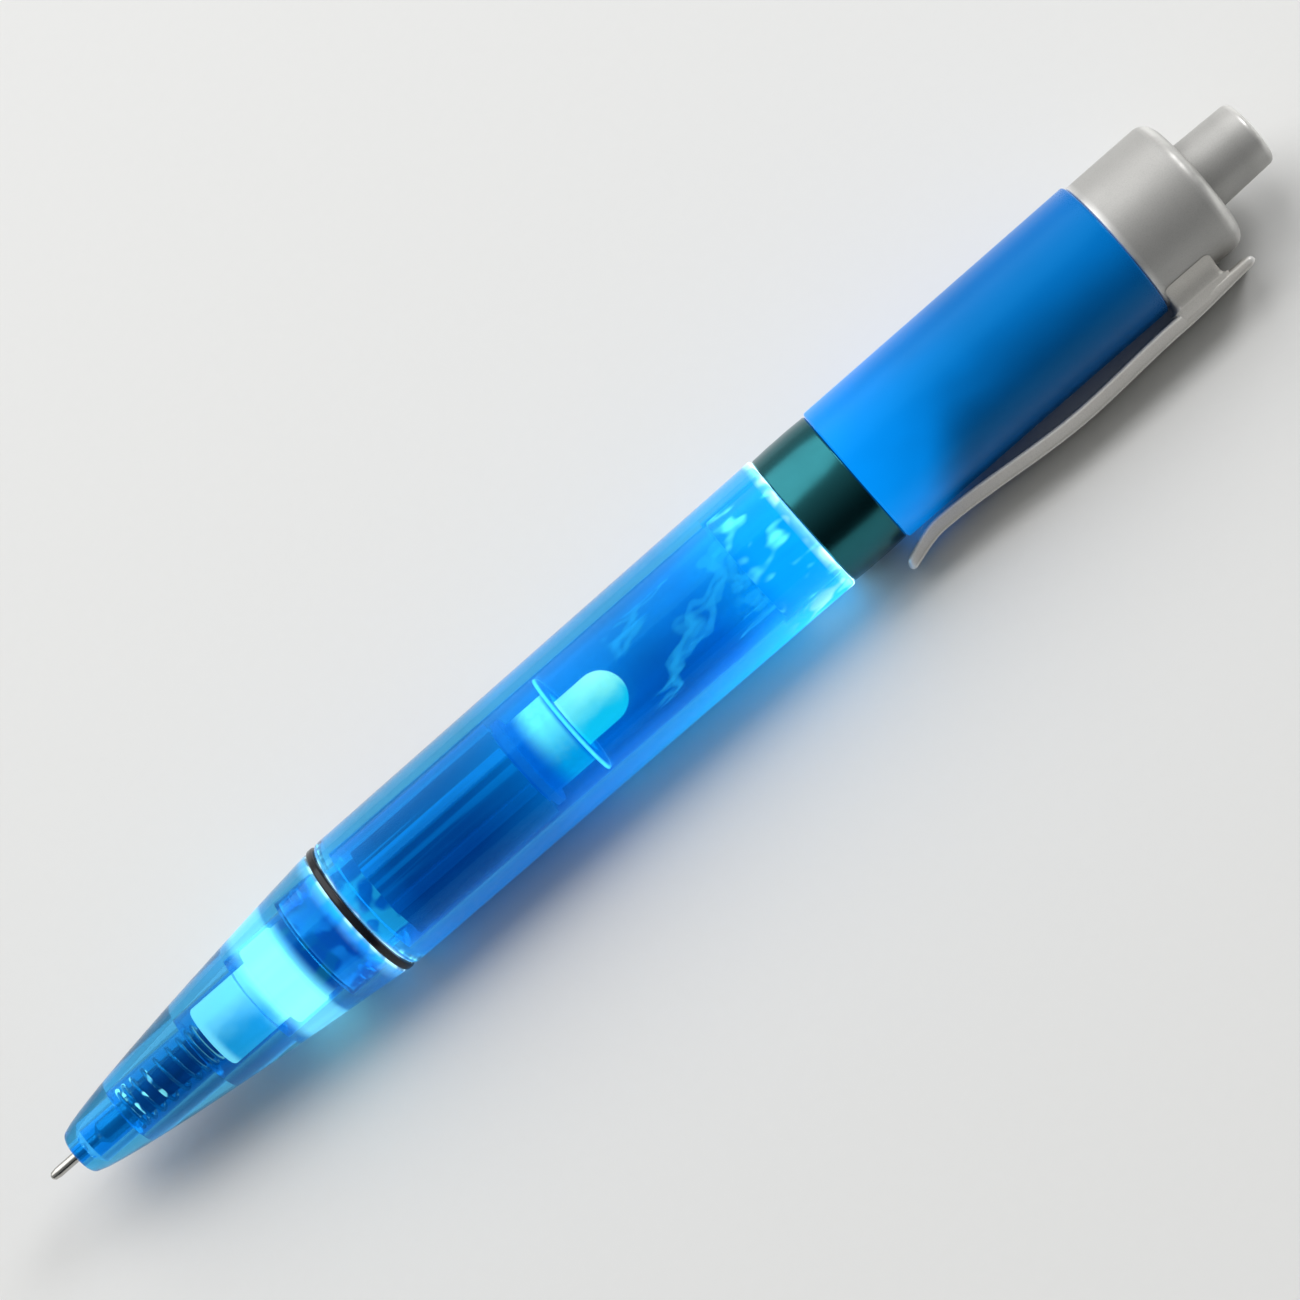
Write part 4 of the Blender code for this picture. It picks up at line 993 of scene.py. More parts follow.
def ink_finish(colour):
    """Ink tube, dark with ink behind its wall."""
    finish = Finish("ink_tube")
    swirl = finish.noise(4, 0.8, 3)
    return finish.surface(
        base_color=finish.fade(swirl, colour.ink, 3),
        roughness=0.16 + 0.12 * swirl,
        # Faint painted light of the lamp
        emission_color=finish.mix(swirl, shade(colour.glow_deep, 0.3), colour.glow_deep),
        emission_strength=1,
    )


def plug_finish(colour):
    """White plastic of the carrier with painted light: flooded with light at its flange and front rim, bluer
    down its side, and painted dark behind its flange as shade, but for patches of light."""
    finish = Finish("carrier_plastic")
    height = finish.towards(ALONG)
    down = finish.towards(TO_CLIP)
    clouds = finish.noise(3, 2, 3)
    flange = finish.ease(height + 2.4 * clouds, 22.6, 25)
    front = 1 - finish.ease(height, mm(nozzle_front) + 0.3, mm(nozzle_front) + 1.1)
    # Painted light: the side away from the clip is lit, the clip's side dimmer and bluer
    upper = 1 - finish.ease(down + 2 * clouds, -1, 2.6)
    # Behind the flange, shade is painted in both colour and light
    rear = 1 - finish.ease(height, 27, 28.4)
    side = finish.mix(upper, shade(colour.plug_side, 0.55), colour.plug_lit)
    lit = finish.mix(flange | front, side, colour.plug_lit)
    patches = finish.ease(finish.noise(2.2, 1.6, 1), 0.46, 0.58)
    in_tube = finish.ease(height, 32, 34)
    behind = finish.mix(patches, colour.glow_deep, finish.times(colour.plug_side, 0.2 + 0.3 * in_tube))
    return finish.surface(
        # Behind the flange the base colour is the battery tube's dark plastic: painted shade
        base_color=finish.mix(rear, colour.tube, finish.fade(clouds, colour.plug, 0.9)),
        roughness=0.32 + 0.16 * clouds,
        emission_color=finish.mix(rear, behind, lit),
        emission_strength=2.5,
        normal=finish.bump(clouds, 40, 0.3),
    )


def tube_finish(colour):
    """Dark translucent plastic of the battery tube, with painted light of the lamp, as if its ribs carried it
    forward, brighter on the side away from the clip and near the lamp.
    """
    finish = Finish("battery_tube_plastic")
    streaks = finish.noise(40, 0.6)
    rib = finish.mark("rib")
    near_lamp = finish.ease(finish.towards(ALONG), 46, 54)
    upper = 1 - finish.ease(finish.towards(TO_CLIP), -3, 2.5)
    stripes = (0.4 + 0.6 * finish.ease(streaks, 0.42, 0.62)) * (0.08 + 0.92 * rib)
    fine = finish.ease(streaks, 0.54, 0.64)
    # Painted light, brighter on the side away from the clip and near the lamp
    piped = stripes * (0.12 + 0.88 * upper) + (0.10 + 0.70 * fine) * upper + 0.35 * near_lamp
    return finish.surface(
        base_color=finish.fade(rib, colour.tube, 2),
        roughness=0.45 + 0.2 * streaks,
        specular_ior_level=0.05,
        emission_color=finish.mix(piped, shade(colour.glow_deep, 1.6), colour.glow_bright),
        emission_strength=1,
        normal=finish.bump(streaks, 30, 0.3),
    )


def holder_finish(colour):
    """Frosted plastic round the lamp with painted light, brightest at its upper side and the plate's edge."""
    finish = Finish("frosted_plastic")
    height = finish.towards(ALONG)
    frost = finish.noise(0.6, 0.6, 3)
    plate = finish.ease(height, mm(plate_rear) - 1.0, mm(plate_rear) - 0.4)
    socket = finish.ease(height, mm(lamp_base) - 1.6, mm(lamp_base) + 0.6)
    # Painted light: the side away from the clip is the brightest
    upper = 1 - finish.ease(finish.towards(TO_CLIP) + 2 * frost, -1.2, 3.4)
    lit = finish.mix(upper, shade(colour.holder_side, 0.5), colour.holder_lit)
    glow = finish.mix(socket, shade(colour.glow_mid, 0.4), lit)
    glow = finish.mix(plate, glow, shade(colour.glow_mid, 0.6))
    glow = finish.mix(finish.mark("rim") ** 9, glow, colour.glow_white)
    return finish.surface(
        # The base colour is the bright glow's blue: painted light
        base_color=finish.fade(frost, colour.glow_bright, 0.8),
        roughness=0.35 + 0.2 * frost,
        emission_color=finish.times(glow, 0.7 + 0.6 * frost),
        emission_strength=2.2,
        normal=finish.bump(frost, 30, 0.3),
    )


def lamp_finish(colour):
    """Lit lens of the lamp: a white core that fades to blue-green low on its side."""
    finish = Finish("lamp_lens")
    glass = finish.noise(3, 1.6)
    core = 1 - finish.ease(finish.towards(TO_CLIP) + 1.6 * glass, -1.2, 2.2)
    dome = finish.ease(finish.towards(ALONG), mm(lamp_base) + 2.6, mm(lamp_top) - 0.6)
    return finish.surface(
        base_color=finish.fade(glass, colour.lamp, 0.8),
        roughness=0.08 + 0.08 * glass,
        coat_weight=0.5,
        emission_color=finish.mix(core * (0.55 + 0.45 * dome), colour.lamp, colour.lamp_core),
        emission_strength=6,
    )


def push_finish(colour):
    """Clear push tube: a faint film crossed by curved streaks of caught light."""
    finish = Finish("push_tube_film")
    height = finish.towards(ALONG)
    bend = finish.noise(5, 3)
    phase = 0.55 * height + 1.1 * finish.towards(TO_CLIP) + 9.0 * bend
    streak = finish.ease(finish.node("ShaderNodeMath", {"operation": "SINE"}, {0: phase}), 0.72, 0.98)
    spots = finish.ease(finish.noise(2, 1.2), 0.54, 0.68)
    rear = finish.ease(height, 74, 84)
    clear_of_lamp = finish.ease(height, mm(lamp_top), mm(lamp_top) + 2)
    caught = (streak * 0.55 | spots * rear) * clear_of_lamp
    return finish.surface(
        # The base colour is the glow's blue: painted light
        base_color=finish.fade(bend, colour.glow_mid, 0.8),
        roughness=0.06 + 0.1 * bend,
        alpha=0.08 + 0.72 * caught,
        emission_color=finish.mix(caught, shade(colour.glow_mid, 0.4), colour.push_lit),
        emission_strength=2,
    )


def floor_finish(colour):
    """Pale matte board with a barely seen tooth."""
    finish = Finish("pale_floor")
    tooth = finish.noise(1.2, 1.2, 4)
    broad = finish.noise(300, 300)
    return finish.surface(
        base_color=finish.fade(0.5 * tooth + 0.5 * broad, colour.floor, 0.97),
        roughness=0.75 + 0.15 * tooth,
        specular_ior_level=0.2,
    )


FINISH_MAKERS = {
    "clear": clear_finish,
    "blue": blue_finish,
    "silver": silver_finish,
    "clip": lit_clip_finish,
    "mirror": mirror_finish,
    "black": black_finish,
    "steel": steel_finish,
    "spring": spring_finish,
    "brass": brass_finish,
    "ink": ink_finish,
    "plug": plug_finish,
    "tube": tube_finish,
    "cell": cell_finish,
    "holder": holder_finish,
    "lamp": lamp_finish,
    "push": push_finish,
    "cam": cam_finish,
    "floor": floor_finish,
}
finishes = {}


def finished(name):
    """A finish by its short name, mixed from the scene's colours the first time that it is asked for."""
    if name not in finishes:
        finishes[name] = FINISH_MAKERS[name](bpy.context.scene.pen_colours)
    return finishes[name]


class PEN_OT_nose(bpy.types.Operator):
    """Clear tapered nose with its stepped bore"""

    bl_idname = "pen.nose"
    bl_label = "Nose"

    def execute(self, context):
        size = context.scene.pen_shell
        rear = joint_front - size.seam

        def outer_r(height):
            """Nose outline: the rear radius falls to the tip's by a power of the height."""
            part = np.clip(height / nose_rear, 0, 1)
            return size.nose_tip_r + (size.nose_rear_r - size.nose_tip_r) * part**size.nose_swell

        outline = nose_rear * np.linspace(1, 0, NOSE_STATIONS)[1:-1]
        points = profile(
            (size.nose_rear_r, rear, size.edge),
            *zip(outer_r(outline), outline),
            (size.nose_tip_r, 0, size.nose_rim),
            (size.throat_r, 0, size.edge),
            (size.throat_r, size.throat_length),
            (size.point_bore_r, size.throat_length + size.point_bore_r - size.throat_r),
            (size.point_bore_r, size.spring_seat),
            (size.spring_bore_r, size.spring_seat),
            (size.spring_bore_r, size.nozzle_room),
            (size.nozzle_bore_r, size.nozzle_room),
            (size.nozzle_bore_r, size.flange_room),
            (size.flange_bore_r, size.flange_room),
            (size.flange_bore_r, size.nose_socket),
            (size.nose_socket_r, size.nose_socket, 0, NOSE_SOCKET_SPLITS),
            (size.nose_socket_r, rear),
        )
        heights = points[:, 1]
        marks = shell_marks(points, outer_r(heights), bell(heights, rear, FINE_RIM))
        add_turned("nose_shell", points, **marks)
        return {"FINISHED"}


class PEN_OT_lower_barrel(bpy.types.Operator):
    """Clear lower barrel with a threaded front spigot and a rear socket"""

    bl_idname = "pen.lower_barrel"
    bl_label = "Lower barrel"

    def execute(self, context):
        size = context.scene.pen_shell
        front = joint_rear + size.seam
        rear = ring_front - size.seam
        taper = (size.lower_rear_r - size.lower_front_r) / (rear - front)

        def thread(radius, height, angle):
            """Triangular ridge that climbs one pitch per turn, faded in and out at the thread's ends."""
            from_front = height - spigot_front - size.thread_start
            from_rear = nose_rear - size.thread_end - height
            ends = np.clip(from_front / size.thread_fade, 0, 1) * np.clip(from_rear / size.thread_fade, 0, 1)
            on_spigot = np.abs(radius - size.spigot_r) < SAME
            ridge = triangle_wave(height / size.thread_pitch - angle / math.tau)
            return on_spigot * ends * size.thread_height * ridge

        points = profile(
            (size.lower_rear_r, rear, size.edge),
            # A point on the taper, which keeps the light of the rim within its own length.
            (size.lower_rear_r - taper * size.lit_rim, rear - size.lit_rim, 0, LONG_SPLITS),
            (size.lower_front_r, front, 2 * size.edge),
            (size.spigot_r, front, 0, THREAD_SPLITS),
            (size.spigot_r, spigot_front),
            (size.flange_bore_r, spigot_front),
            (size.flange_bore_r, size.bore_step),
            (size.lower_bore_r, size.bore_step, 0, LONG_SPLITS),
            (size.lower_bore_r, size.rear_socket),
            (size.rear_socket_r, size.rear_socket, 0, REAR_SOCKET_SPLITS),
            (size.rear_socket_r, rear),
        )
        heights = points[:, 1]
        rim = size.rim_light * bell(heights, rear, RIM) + bell(heights, front, FINE_RIM)
        rim = rim + size.spigot_light * bell(heights, spigot_front, THIN_RIM)
        add_turned("lower_shell", points, ripple=thread, **shell_marks(points, size.lower_front_r, rim))
        return {"FINISHED"}


class PEN_OT_rings(bpy.types.Operator):
    """Black joint ring and mirror centre ring"""

    bl_idname = "pen.rings"
    bl_label = "Rings"

    def execute(self, context):
        size = context.scene.pen_shell
        joint = profile(
            (size.lower_front_r, joint_rear, size.edge),
            (size.lower_front_r, joint_front, size.edge),
            (size.nose_socket_r, joint_front),
            (size.nose_socket_r, joint_rear),
        )
        add_turned("black_ring", joint)
        middle = (ring_front + ring_rear) / 2
        centre = profile(
            (size.ring_r, ring_rear, size.edge),
            (size.ring_r + size.ring_crown, middle + size.ring_flat),
            (size.ring_r + size.ring_crown, middle - size.ring_flat),
            (size.ring_r, ring_front, size.edge),
            (size.rear_socket_r, ring_front),
            (size.rear_socket_r, ring_rear),
        )
        add_turned("mirror_ring", centre)
        return {"FINISHED"}


class PEN_OT_upper_barrel(bpy.types.Operator):
    """Blue upper barrel with its front spigot"""

    bl_idname = "pen.upper_barrel"
    bl_label = "Upper barrel"

    def execute(self, context):
        size = context.scene.pen_shell
        front = ring_rear + size.seam
        points = profile(
            (size.upper_r, upper_rear, size.edge, LONG_SPLITS),
            (size.upper_r, front, size.edge),
            (size.upper_spigot_r, front),
            (size.upper_spigot_r, upper_spigot_front, size.edge),
            (size.guide_r, upper_spigot_front),
            (size.guide_r, size.guide_rear),
            (size.rear_socket_r, size.guide_rear),
            (size.rear_socket_r, upper_rear),
        )
        add_turned("upper_shell", points, rim=bell(points[:, 1], upper_rear, BROAD_RIM))
        return {"FINISHED"}


class PEN_OT_cap(bpy.types.Operator):
    """Silver cap and push button"""

    bl_idname = "pen.cap"
    bl_label = "Cap and button"

    def execute(self, context):
        size = context.scene.pen_shell
        front = upper_rear + size.seam
        hole_r = size.button_r + size.button_gap
        end_wall = cap_rear - size.cap_end_wall
        cap = profile(
            (size.cap_r, cap_rear, size.cap_round),
            (size.cap_r, cap_rear - 2.4 * size.cap_round),
            (size.cap_r, front + 3 * size.edge),
            (size.cap_r, front, 0.8 * size.edge),
            (size.upper_spigot_r, front),
            (size.upper_spigot_r, cap_spigot_front, size.edge),
            (size.guide_r, cap_spigot_front),
            (size.guide_r, end_wall),
            (hole_r, end_wall),
            (hole_r, cap_rear, size.edge),
        )
        heights = cap[:, 1]
        # Marks for wear with a painted highlight at the cap's front and rear rims
        rim = bell(heights, front, RIM) + bell(heights, cap_rear - 0.4 * size.cap_round, BROAD_RIM)
        add_turned("cap_shell", cap, rim=rim)
        collar_r = size.guide_r - size.button_gap
        collar_rear = end_wall - size.collar_room
        collar_front = collar_rear - size.collar_length
        shank_r = size.button_r - size.shank_step
        button = profile(
            (0, button_end),
            (0.6 * size.button_end_r, button_end - 0.3 * size.button_crown),
            (size.button_end_r, button_end - size.button_crown, size.button_round, BUTTON_SPLITS),
            (size.button_r, cap_rear),
            (size.button_r, collar_rear),
            (collar_r, collar_rear, size.edge),
            (collar_r, collar_front, size.edge),
            (shank_r, collar_front),
            (shank_r, crown_front),
            (size.pilot_bore_r, crown_front),
            (size.pilot_bore_r, crown_front + size.pilot_bore),
            (0, crown_front + size.pilot_bore),
        )

        def crown(radius, height, angle):
            """Ring of V teeth at the crown's rim: a triangle wave of the angle."""
            at_rim = height < crown_front + SAME
            return at_rim * size.crown_height * triangle_wave(angle / math.tau * size.crown_teeth)

        # Mark for wear with a painted highlight at the button's end
        rim = bell(button[:, 1], button_end - 0.5 * size.button_round, BROAD_RIM)
        add_turned("button_shell", button, AROUND_SMALL, lift=crown, rim=rim)
        return {"FINISHED"}


class PEN_OT_clip(bpy.types.Operator):
    """Silver clip: a bowed leaf and the bridge that carries it on the cap"""

    bl_idname = "pen.clip"
    bl_label = "Clip"

    def leaf(self, size):
        """Rounded section carried along the leaf: its reach and thickness follow smooth curves through a few
        heights, and its ends draw in as quarter ellipses."""
        along = (1 - np.cos(np.linspace(0, np.pi, LEAF_STATIONS)))[:, None] / 2
        height = foot_tip + (tail_end - foot_tip) * along
        knots = (foot_tip, size.valley, size.bow, size.root, tail_end)
        reaches = (size.tip_reach, size.valley_reach, size.bow_reach, size.root_reach, size.root_reach)
        thicks = (size.tip_thick, size.thick, size.thick, size.thick, size.tail_thick)
        reach = smooth_curve(knots, reaches, height)
        thick = smooth_curve(knots, thicks, height)
        from_end = np.minimum(height - foot_tip, tail_end - height) / size.end_round
        drawn_in = np.sqrt(1 - (1 - np.clip(from_end, 0.01, 1)) ** 2)
        from_tip = np.clip((height - foot_tip) / size.foot_length, 0, 1)
        foot = 1 - size.foot_narrowing * quarter_round(1 - from_tip)
        half_width = (size.foot_width + (size.root_width - size.foot_width) * along) / 2 * foot
        half_width = half_width - size.end_round * (1 - drawn_in)
        half_thick = thick / 2 * drawn_in
        edge = np.minimum(size.edge, 0.9 * half_thick)
        away, out = rounded_section(half_width, half_thick, edge)
        fall = size.crown * (away / half_width) ** 2 * (out > 0) * drawn_in
        return in_pen(reach + thick / 2 + out - fall, away, height + 0 * out)

    def bridge(self, size, cap_r):
        """Rounded section carried from the cap's surface out into the leaf, lengthened by a quarter circle
        there and widened by another at the cap."""
        rise = np.linspace(0, 1, BRIDGE_STATIONS)[:, None]
        half_length = (size.bridge_rear - size.bridge_front) / 2
        top = size.root_reach + size.thick / 2
        under = size.root_reach - cap_r - size.bridge_gap
        risen = rise * (top - cap_r)
        flare = quarter_round(np.clip((risen - under + size.bridge_flare) / size.bridge_flare, 0, 1))
        skirt = quarter_round(np.clip(1 - risen / size.bridge_skirt, 0, 1))
        along, away = rounded_section(
            half_length + size.bridge_flare * flare,
            size.bridge_width / 2 + size.bridge_skirt * skirt,
            2 * size.edge + 0 * rise,
        )
        foot = np.sqrt((cap_r + size.bridge_gap) ** 2 - away**2)
        out = foot + rise * (top - foot)
        return in_pen(out, away, (size.bridge_front + size.bridge_rear) / 2 + along)

    def execute(self, context):
        size = context.scene.pen_clip
        grids = [capped(self.leaf(size)), capped(self.bridge(size, context.scene.pen_shell.cap_r))]
        heights = np.concatenate([grid.reshape(-1, 3)[:, 0] for grid in grids]) - PEN_ORIGIN[0]
        # Marks for wear with a painted highlight at the foot's tip and the tail's end
        rim = bell(heights, foot_tip, TIP_RIM) + bell(heights, tail_end, TAIL_RIM)
        add_piece("clip_leaf", grids, marks={"rim": rim})
        return {"FINISHED"}


class PEN_OT_refill(bpy.types.Operator):
    """Refill: needle point, writing ball, ink tube and the return spring"""

    bl_idname = "pen.refill"
    bl_label = "Refill and spring"

    def coil(self, size):
        """Wire section carried along a helix: angle is even, and height is even but for a sine that closes up
        the end turns."""
        along = np.linspace(0, 1, size.coil_turns * TURN_STATIONS)[:, None]
        around = np.linspace(0, math.tau, AROUND_WIRE, endpoint=False)[None]
        angle = math.tau * size.coil_turns * along
        run = spring_rear - spring_front - 2 * size.coil_wire_r
        risen = along - size.coil_crowding * np.sin(math.tau * along) / math.tau
        height = spring_front + size.coil_wire_r + run * risen
        climb = run * (1 - size.coil_crowding * np.cos(math.tau * along))
        sweep = math.tau * size.coil_turns * size.coil_r
        lean = climb / np.hypot(climb, sweep)
        upright = sweep / np.hypot(climb, sweep)
        out = size.coil_r + size.coil_wire_r * np.cos(around)
        off = size.coil_wire_r * np.sin(around)
        to_clip = out * np.cos(angle) + off * lean * np.sin(angle)
        away = out * np.sin(angle) - off * lean * np.cos(angle)
        return in_pen(to_clip, away, height + off * upright)

    def execute(self, context):
        size = context.scene.pen_inner
        cone = size.point_r - size.needle_r
        point = profile(
            (0, stub_rear),
            (size.stub_r, stub_rear),
            (size.stub_r, size.point_rear),
            (size.point_r, size.point_rear, CRISP),
            (size.point_r, size.shoulder + cone, SOFT),
            (size.needle_r, size.shoulder, SOFT),
            (size.needle_r, point_tip + size.needle_taper, SOFT),
            (size.needle_r - size.socket_rim, point_tip, FINE / 2),
            (0, point_tip + size.socket_rim),
        )
        add_turned("point", point, AROUND_SMALL)
        ball = arc(size.ball_r, (ball_front + ball_rear) / 2, np.pi, BALL_POINTS)
        add_turned("ball", ball, AROUND_SMALL)
        ink = profile(
            (size.ink_tube_r, ink_rear, FINE),
            (size.ink_tube_r, ink_front, FINE),
            (size.ink_bore_r, ink_front),
            (size.ink_bore_r, ink_rear),
        )
        add_turned("ink", ink, AROUND_SMALL)
        spring = add_piece("spring", [capped(self.coil(size))])
        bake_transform(spring)
        return {"FINISHED"}


class PEN_OT_carrier(bpy.types.Operator):
    """White stepped carrier that holds the refill"""

    bl_idname = "pen.carrier"
    bl_label = "Refill carrier"

    def execute(self, context):
        size = context.scene.pen_inner
        points = profile(
            (0, plug_rear),
            (size.plug_r, plug_rear, SOFT),
            (size.plug_r, size.flange_rear, CRISP),
            (size.flange_r, size.flange_rear, SOFT),
            (size.flange_r, size.flange_front, SOFT),
            (size.nozzle_r, size.flange_front, SOFT),
            (size.nozzle_r, nozzle_front, size.nozzle_round),
            (size.carrier_bore_r, nozzle_front, SOFT),
            (size.carrier_bore_r, size.refill_end),
            (0, size.refill_end),
        )
        add_turned("carrier", points, AROUND_SMALL)
        return {"FINISHED"}


class PEN_OT_battery(bpy.types.Operator):
    """Ribbed battery tube and its button cells"""

    bl_idname = "pen.battery"
    bl_label = "Battery tube and cells"

    def execute(self, context):
        size = context.scene.pen_inner

        def on_rib(radius, angle):
            """1 on a rib's outer side and 0 between ribs and in the bore, with sides that rise evenly."""
            pitch = math.tau / size.ribs
            off = np.abs((angle / pitch) % 1 - 0.5) * pitch * size.rib_r
            sides = size.rib_blend * size.rib_half_width
            outer = radius > size.tube_bore_r + SAME
            return outer * np.clip((size.rib_half_width + sides - off) / sides, 0, 1)

        def ripple(radius, height, angle):
            """What the ribs add to the tube's radius."""
            return on_rib(radius, angle) * (size.rib_r - size.tube_r)

        tube = profile(
            (size.tube_r, tube_rear, FINE),
            (size.tube_r, tube_front, FINE),
            (size.tube_bore_r, tube_front),
            (size.tube_bore_r, tube_rear),
        )
        angle = np.linspace(0, math.tau, AROUND_RIBS, endpoint=False)[None]
        add_turned("cell_tube", tube, AROUND_RIBS, ripple, rib=on_rib(tube[:, :1], angle))
        for name in ("cell_1", "cell_2", "cell_3"):
            front, rear = span(PIECES[name][0])
            cell = profile(
                (0, rear),
                (size.cell_r, rear, SOFT),
                (size.cell_r, front + size.cell_step, SOFT),
                (size.cell_cap_r, front + size.cell_step, FINE),
                (size.cell_cap_r, front, CRISP),
                (0, front),
            )
            add_turned(name, cell, AROUND_SMALL)
        return {"FINISHED"}


class PEN_OT_lamp(bpy.types.Operator):
    """Lamp and the holder round it"""

    bl_idname = "pen.lamp"
    bl_label = "Lamp and holder"

    def execute(self, context):
        size = context.scene.pen_inner
        spigot_r = size.tube_bore_r - size.holder_gap
        pocket = lamp_base - size.holder_gap
        plate_front = plate_rear - size.plate_thick
        rim_rear = size.holder_rim + size.holder_rim_length
        holder = profile(
            (0, pocket),
            (size.lamp_pocket_r, pocket),
            (size.lamp_pocket_r, plate_rear, CRISP),
            (size.rib_r, plate_rear, PLATE_EDGE),
            (size.rib_r, plate_front, PLATE_EDGE),
            (size.holder_r, plate_front, SOFT),
            (size.holder_r, rim_rear, SOFT),
            (size.tube_r, rim_rear, PLATE_EDGE),
            (size.tube_r, size.holder_rim),
            (spigot_r, size.holder_rim),
            (spigot_r, holder_front),
            (0, holder_front),
        )
        rim = np.clip((holder[:, 0] - size.holder_r) / (size.rib_r - size.holder_r), 0, 1)
        add_turned("lamp_holder", holder, rim=rim)
        dome_base = lamp_top - size.lamp_r
        flange_top = lamp_base + size.lamp_flange
        base = profile(
            (size.lamp_r, dome_base),
            (size.lamp_r, flange_top, FINE),
            (size.lamp_flange_r, flange_top, FINE),
            (size.lamp_flange_r, lamp_base, FINE),
            (0, lamp_base),
        )
        dome = arc(size.lamp_r, dome_base, np.pi / 2, DOME_POINTS)
        add_turned("lamp", np.vstack((dome, base)), AROUND_SMALL)
        return {"FINISHED"}


class PEN_OT_push_tube(bpy.types.Operator):
    """Clear push tube in the lit chamber"""

    bl_idname = "pen.push_tube"
    bl_label = "Push tube"

    def execute(self, context):
        size = context.scene.pen_inner
        points = profile(
            (size.push_r, push_rear, CRISP, LONG_SPLITS),
            (size.push_r, push_front, CRISP),
            (size.push_bore_r, push_front, CRISP, LONG_SPLITS),
            (size.push_bore_r, push_rear, CRISP),
        )
        add_turned("push_sleeve", points)
        return {"FINISHED"}


class PEN_OT_hidden(bpy.types.Operator):
    """Finishes of the CAD nodes that stay: contacts, leads and the click cam"""

    bl_idname = "pen.hidden"
    bl_label = "Contacts and cam"

    def execute(self, context):
        for node, finish in KEPT_NODES.items():
            materials = frame["nodes"][node].data.materials
            materials.clear()
            materials.append(finished(finish))
        return {"FINISHED"}


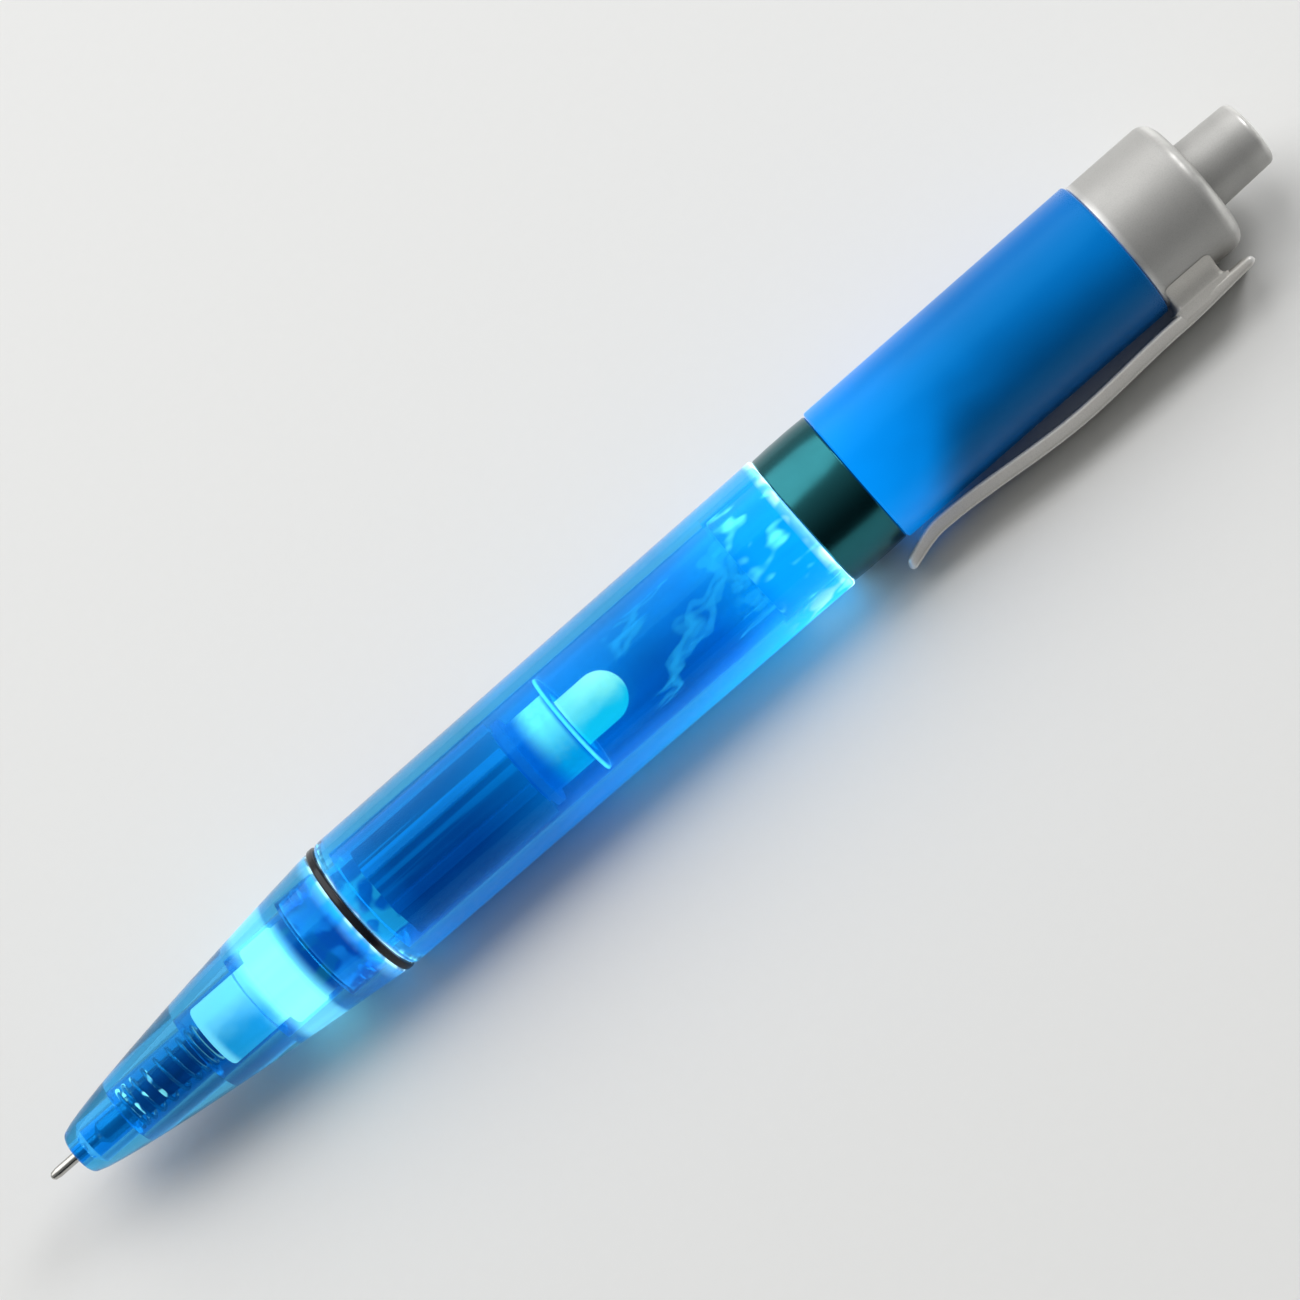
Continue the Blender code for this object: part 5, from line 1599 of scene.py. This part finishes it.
class PEN_OT_stage(bpy.types.Operator):
    """Pale floor, soft light and the camera"""

    bl_idname = "pen.stage"
    bl_label = "Stage"

    def floor(self, context):
        """Level square at the dressed pen's lowest point, centred under it."""
        sides = (-FLOOR_HALF_SIDE, FLOOR_HALF_SIDE)
        across, along = np.meshgrid(sides, sides)
        corners = np.stack((across, along, np.full_like(across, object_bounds()[0].z)), -1).reshape(-1, 3)
        mesh = bpy.data.meshes.new("floor")
        mesh.from_pydata(corners.tolist(), [], [(0, 1, 3, 2)])
        mesh.materials.append(finished("floor"))
        floor = bpy.data.objects.new("floor", mesh)
        context.scene.collection.objects.link(floor)
        floor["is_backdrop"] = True

    def soft_box(self, context, name, place, size, power):
        """Round soft box that faces the pen's middle."""
        light = bpy.data.lights.new(name, "AREA")
        light.shape = "DISK"
        light.size = size
        light.energy = power
        box = bpy.data.objects.new(name, light)
        box.location = place
        box.rotation_mode = "QUATERNION"
        box.rotation_quaternion = (-Vector(place)).to_track_quat("-Z", "Y")
        context.scene.collection.objects.link(box)

    def lights(self, context):
        """A large soft box above and behind the pen, a small one beyond its button end, and a room that is
        darker on the camera's side."""
        studio = context.scene.pen_studio
        self.soft_box(context, "key_box", *KEY_BOX, studio.key_power)
        self.soft_box(context, "rim_box", *RIM_BOX, studio.rim_power)
        world = context.scene.world or bpy.data.worlds.new("room")
        context.scene.world = world
        world.use_nodes = True
        room = Finish("room", world.node_tree)
        facing = room.dot(room.node("ShaderNodeTexCoord", output="Generated"), BRIGHT_SIDE)
        background = world.node_tree.nodes["Background"]
        shades = room.mix(room.ease(facing, -0.75, 0.9), DARK_SHADE, BRIGHT_SHADE)
        room.feed(background.inputs["Color"], shades)
        room.feed(background.inputs["Strength"], studio.fill)

    def camera(self, context):
        """Camera square to the clip, turned so that the pen rises across the picture."""
        studio = context.scene.pen_studio
        back = math.cos(studio.tilt) * TO_CAMERA + math.sin(studio.tilt) * ALONG
        level = ALONG - (ALONG @ back) * back
        level = level / np.linalg.norm(level)
        upright = np.cross(back, level)
        right = math.cos(studio.slope) * level - math.sin(studio.slope) * upright
        up = math.sin(studio.slope) * level + math.cos(studio.slope) * upright
        aim = on_axis(studio.aim) - studio.aim_off * TO_CLIP
        data = bpy.data.cameras.new("camera")
        data.lens = studio.lens
        data.sensor_width = SENSOR_WIDTH
        data.clip_start = CLIP_START
        camera = bpy.data.objects.new("camera", data)
        turn = Matrix((right, up, back)).transposed().to_4x4()
        camera.matrix_world = Matrix.Translation(aim + studio.distance * back) @ turn
        context.scene.collection.objects.link(camera)
        context.scene.camera = camera

    def execute(self, context):
        self.floor(context)
        self.lights(context)
        self.camera(context)
        context.scene.view_settings.view_transform = "Standard"
        return {"FINISHED"}


class PEN_PT_looks(bpy.types.Panel):
    """Pen looks"""

    bl_idname = "PEN_PT_looks"
    bl_label = "Light-up pen"
    bl_space_type = "VIEW_3D"
    bl_region_type = "UI"
    bl_category = "Pen"

    def draw(self, context):
        for operator in OPERATORS:
            self.layout.operator(operator.bl_idname)
        for name in GROUPS:
            group = getattr(context.scene, name)
            for prop in group.bl_rna.properties:
                if prop.identifier not in ("rna_type", "name"):
                    self.layout.prop(group, prop.identifier)


GROUPS = {
    "pen_shell": ShellSizes,
    "pen_inner": InnerSizes,
    "pen_clip": ClipSizes,
    "pen_colours": PenColours,
    "pen_studio": StudioSettings,
}
OPERATORS = (
    PEN_OT_nose,
    PEN_OT_lower_barrel,
    PEN_OT_rings,
    PEN_OT_upper_barrel,
    PEN_OT_cap,
    PEN_OT_clip,
    PEN_OT_refill,
    PEN_OT_carrier,
    PEN_OT_battery,
    PEN_OT_lamp,
    PEN_OT_push_tube,
    PEN_OT_hidden,
    PEN_OT_stage,
)
CLASSES = (*GROUPS.values(), *OPERATORS, PEN_PT_looks)


def register():
    for each in CLASSES:
        bpy.utils.register_class(each)
    for name, group in GROUPS.items():
        setattr(bpy.types.Scene, name, PointerProperty(type=group))


def unregister():
    for name in GROUPS:
        delattr(bpy.types.Scene, name)
    for each in reversed(CLASSES):
        bpy.utils.unregister_class(each)


def main():
    register()
    for operator in OPERATORS:
        getattr(bpy.ops.pen, operator.bl_idname.removeprefix("pen."))()


if __name__ == "__main__":
    main()
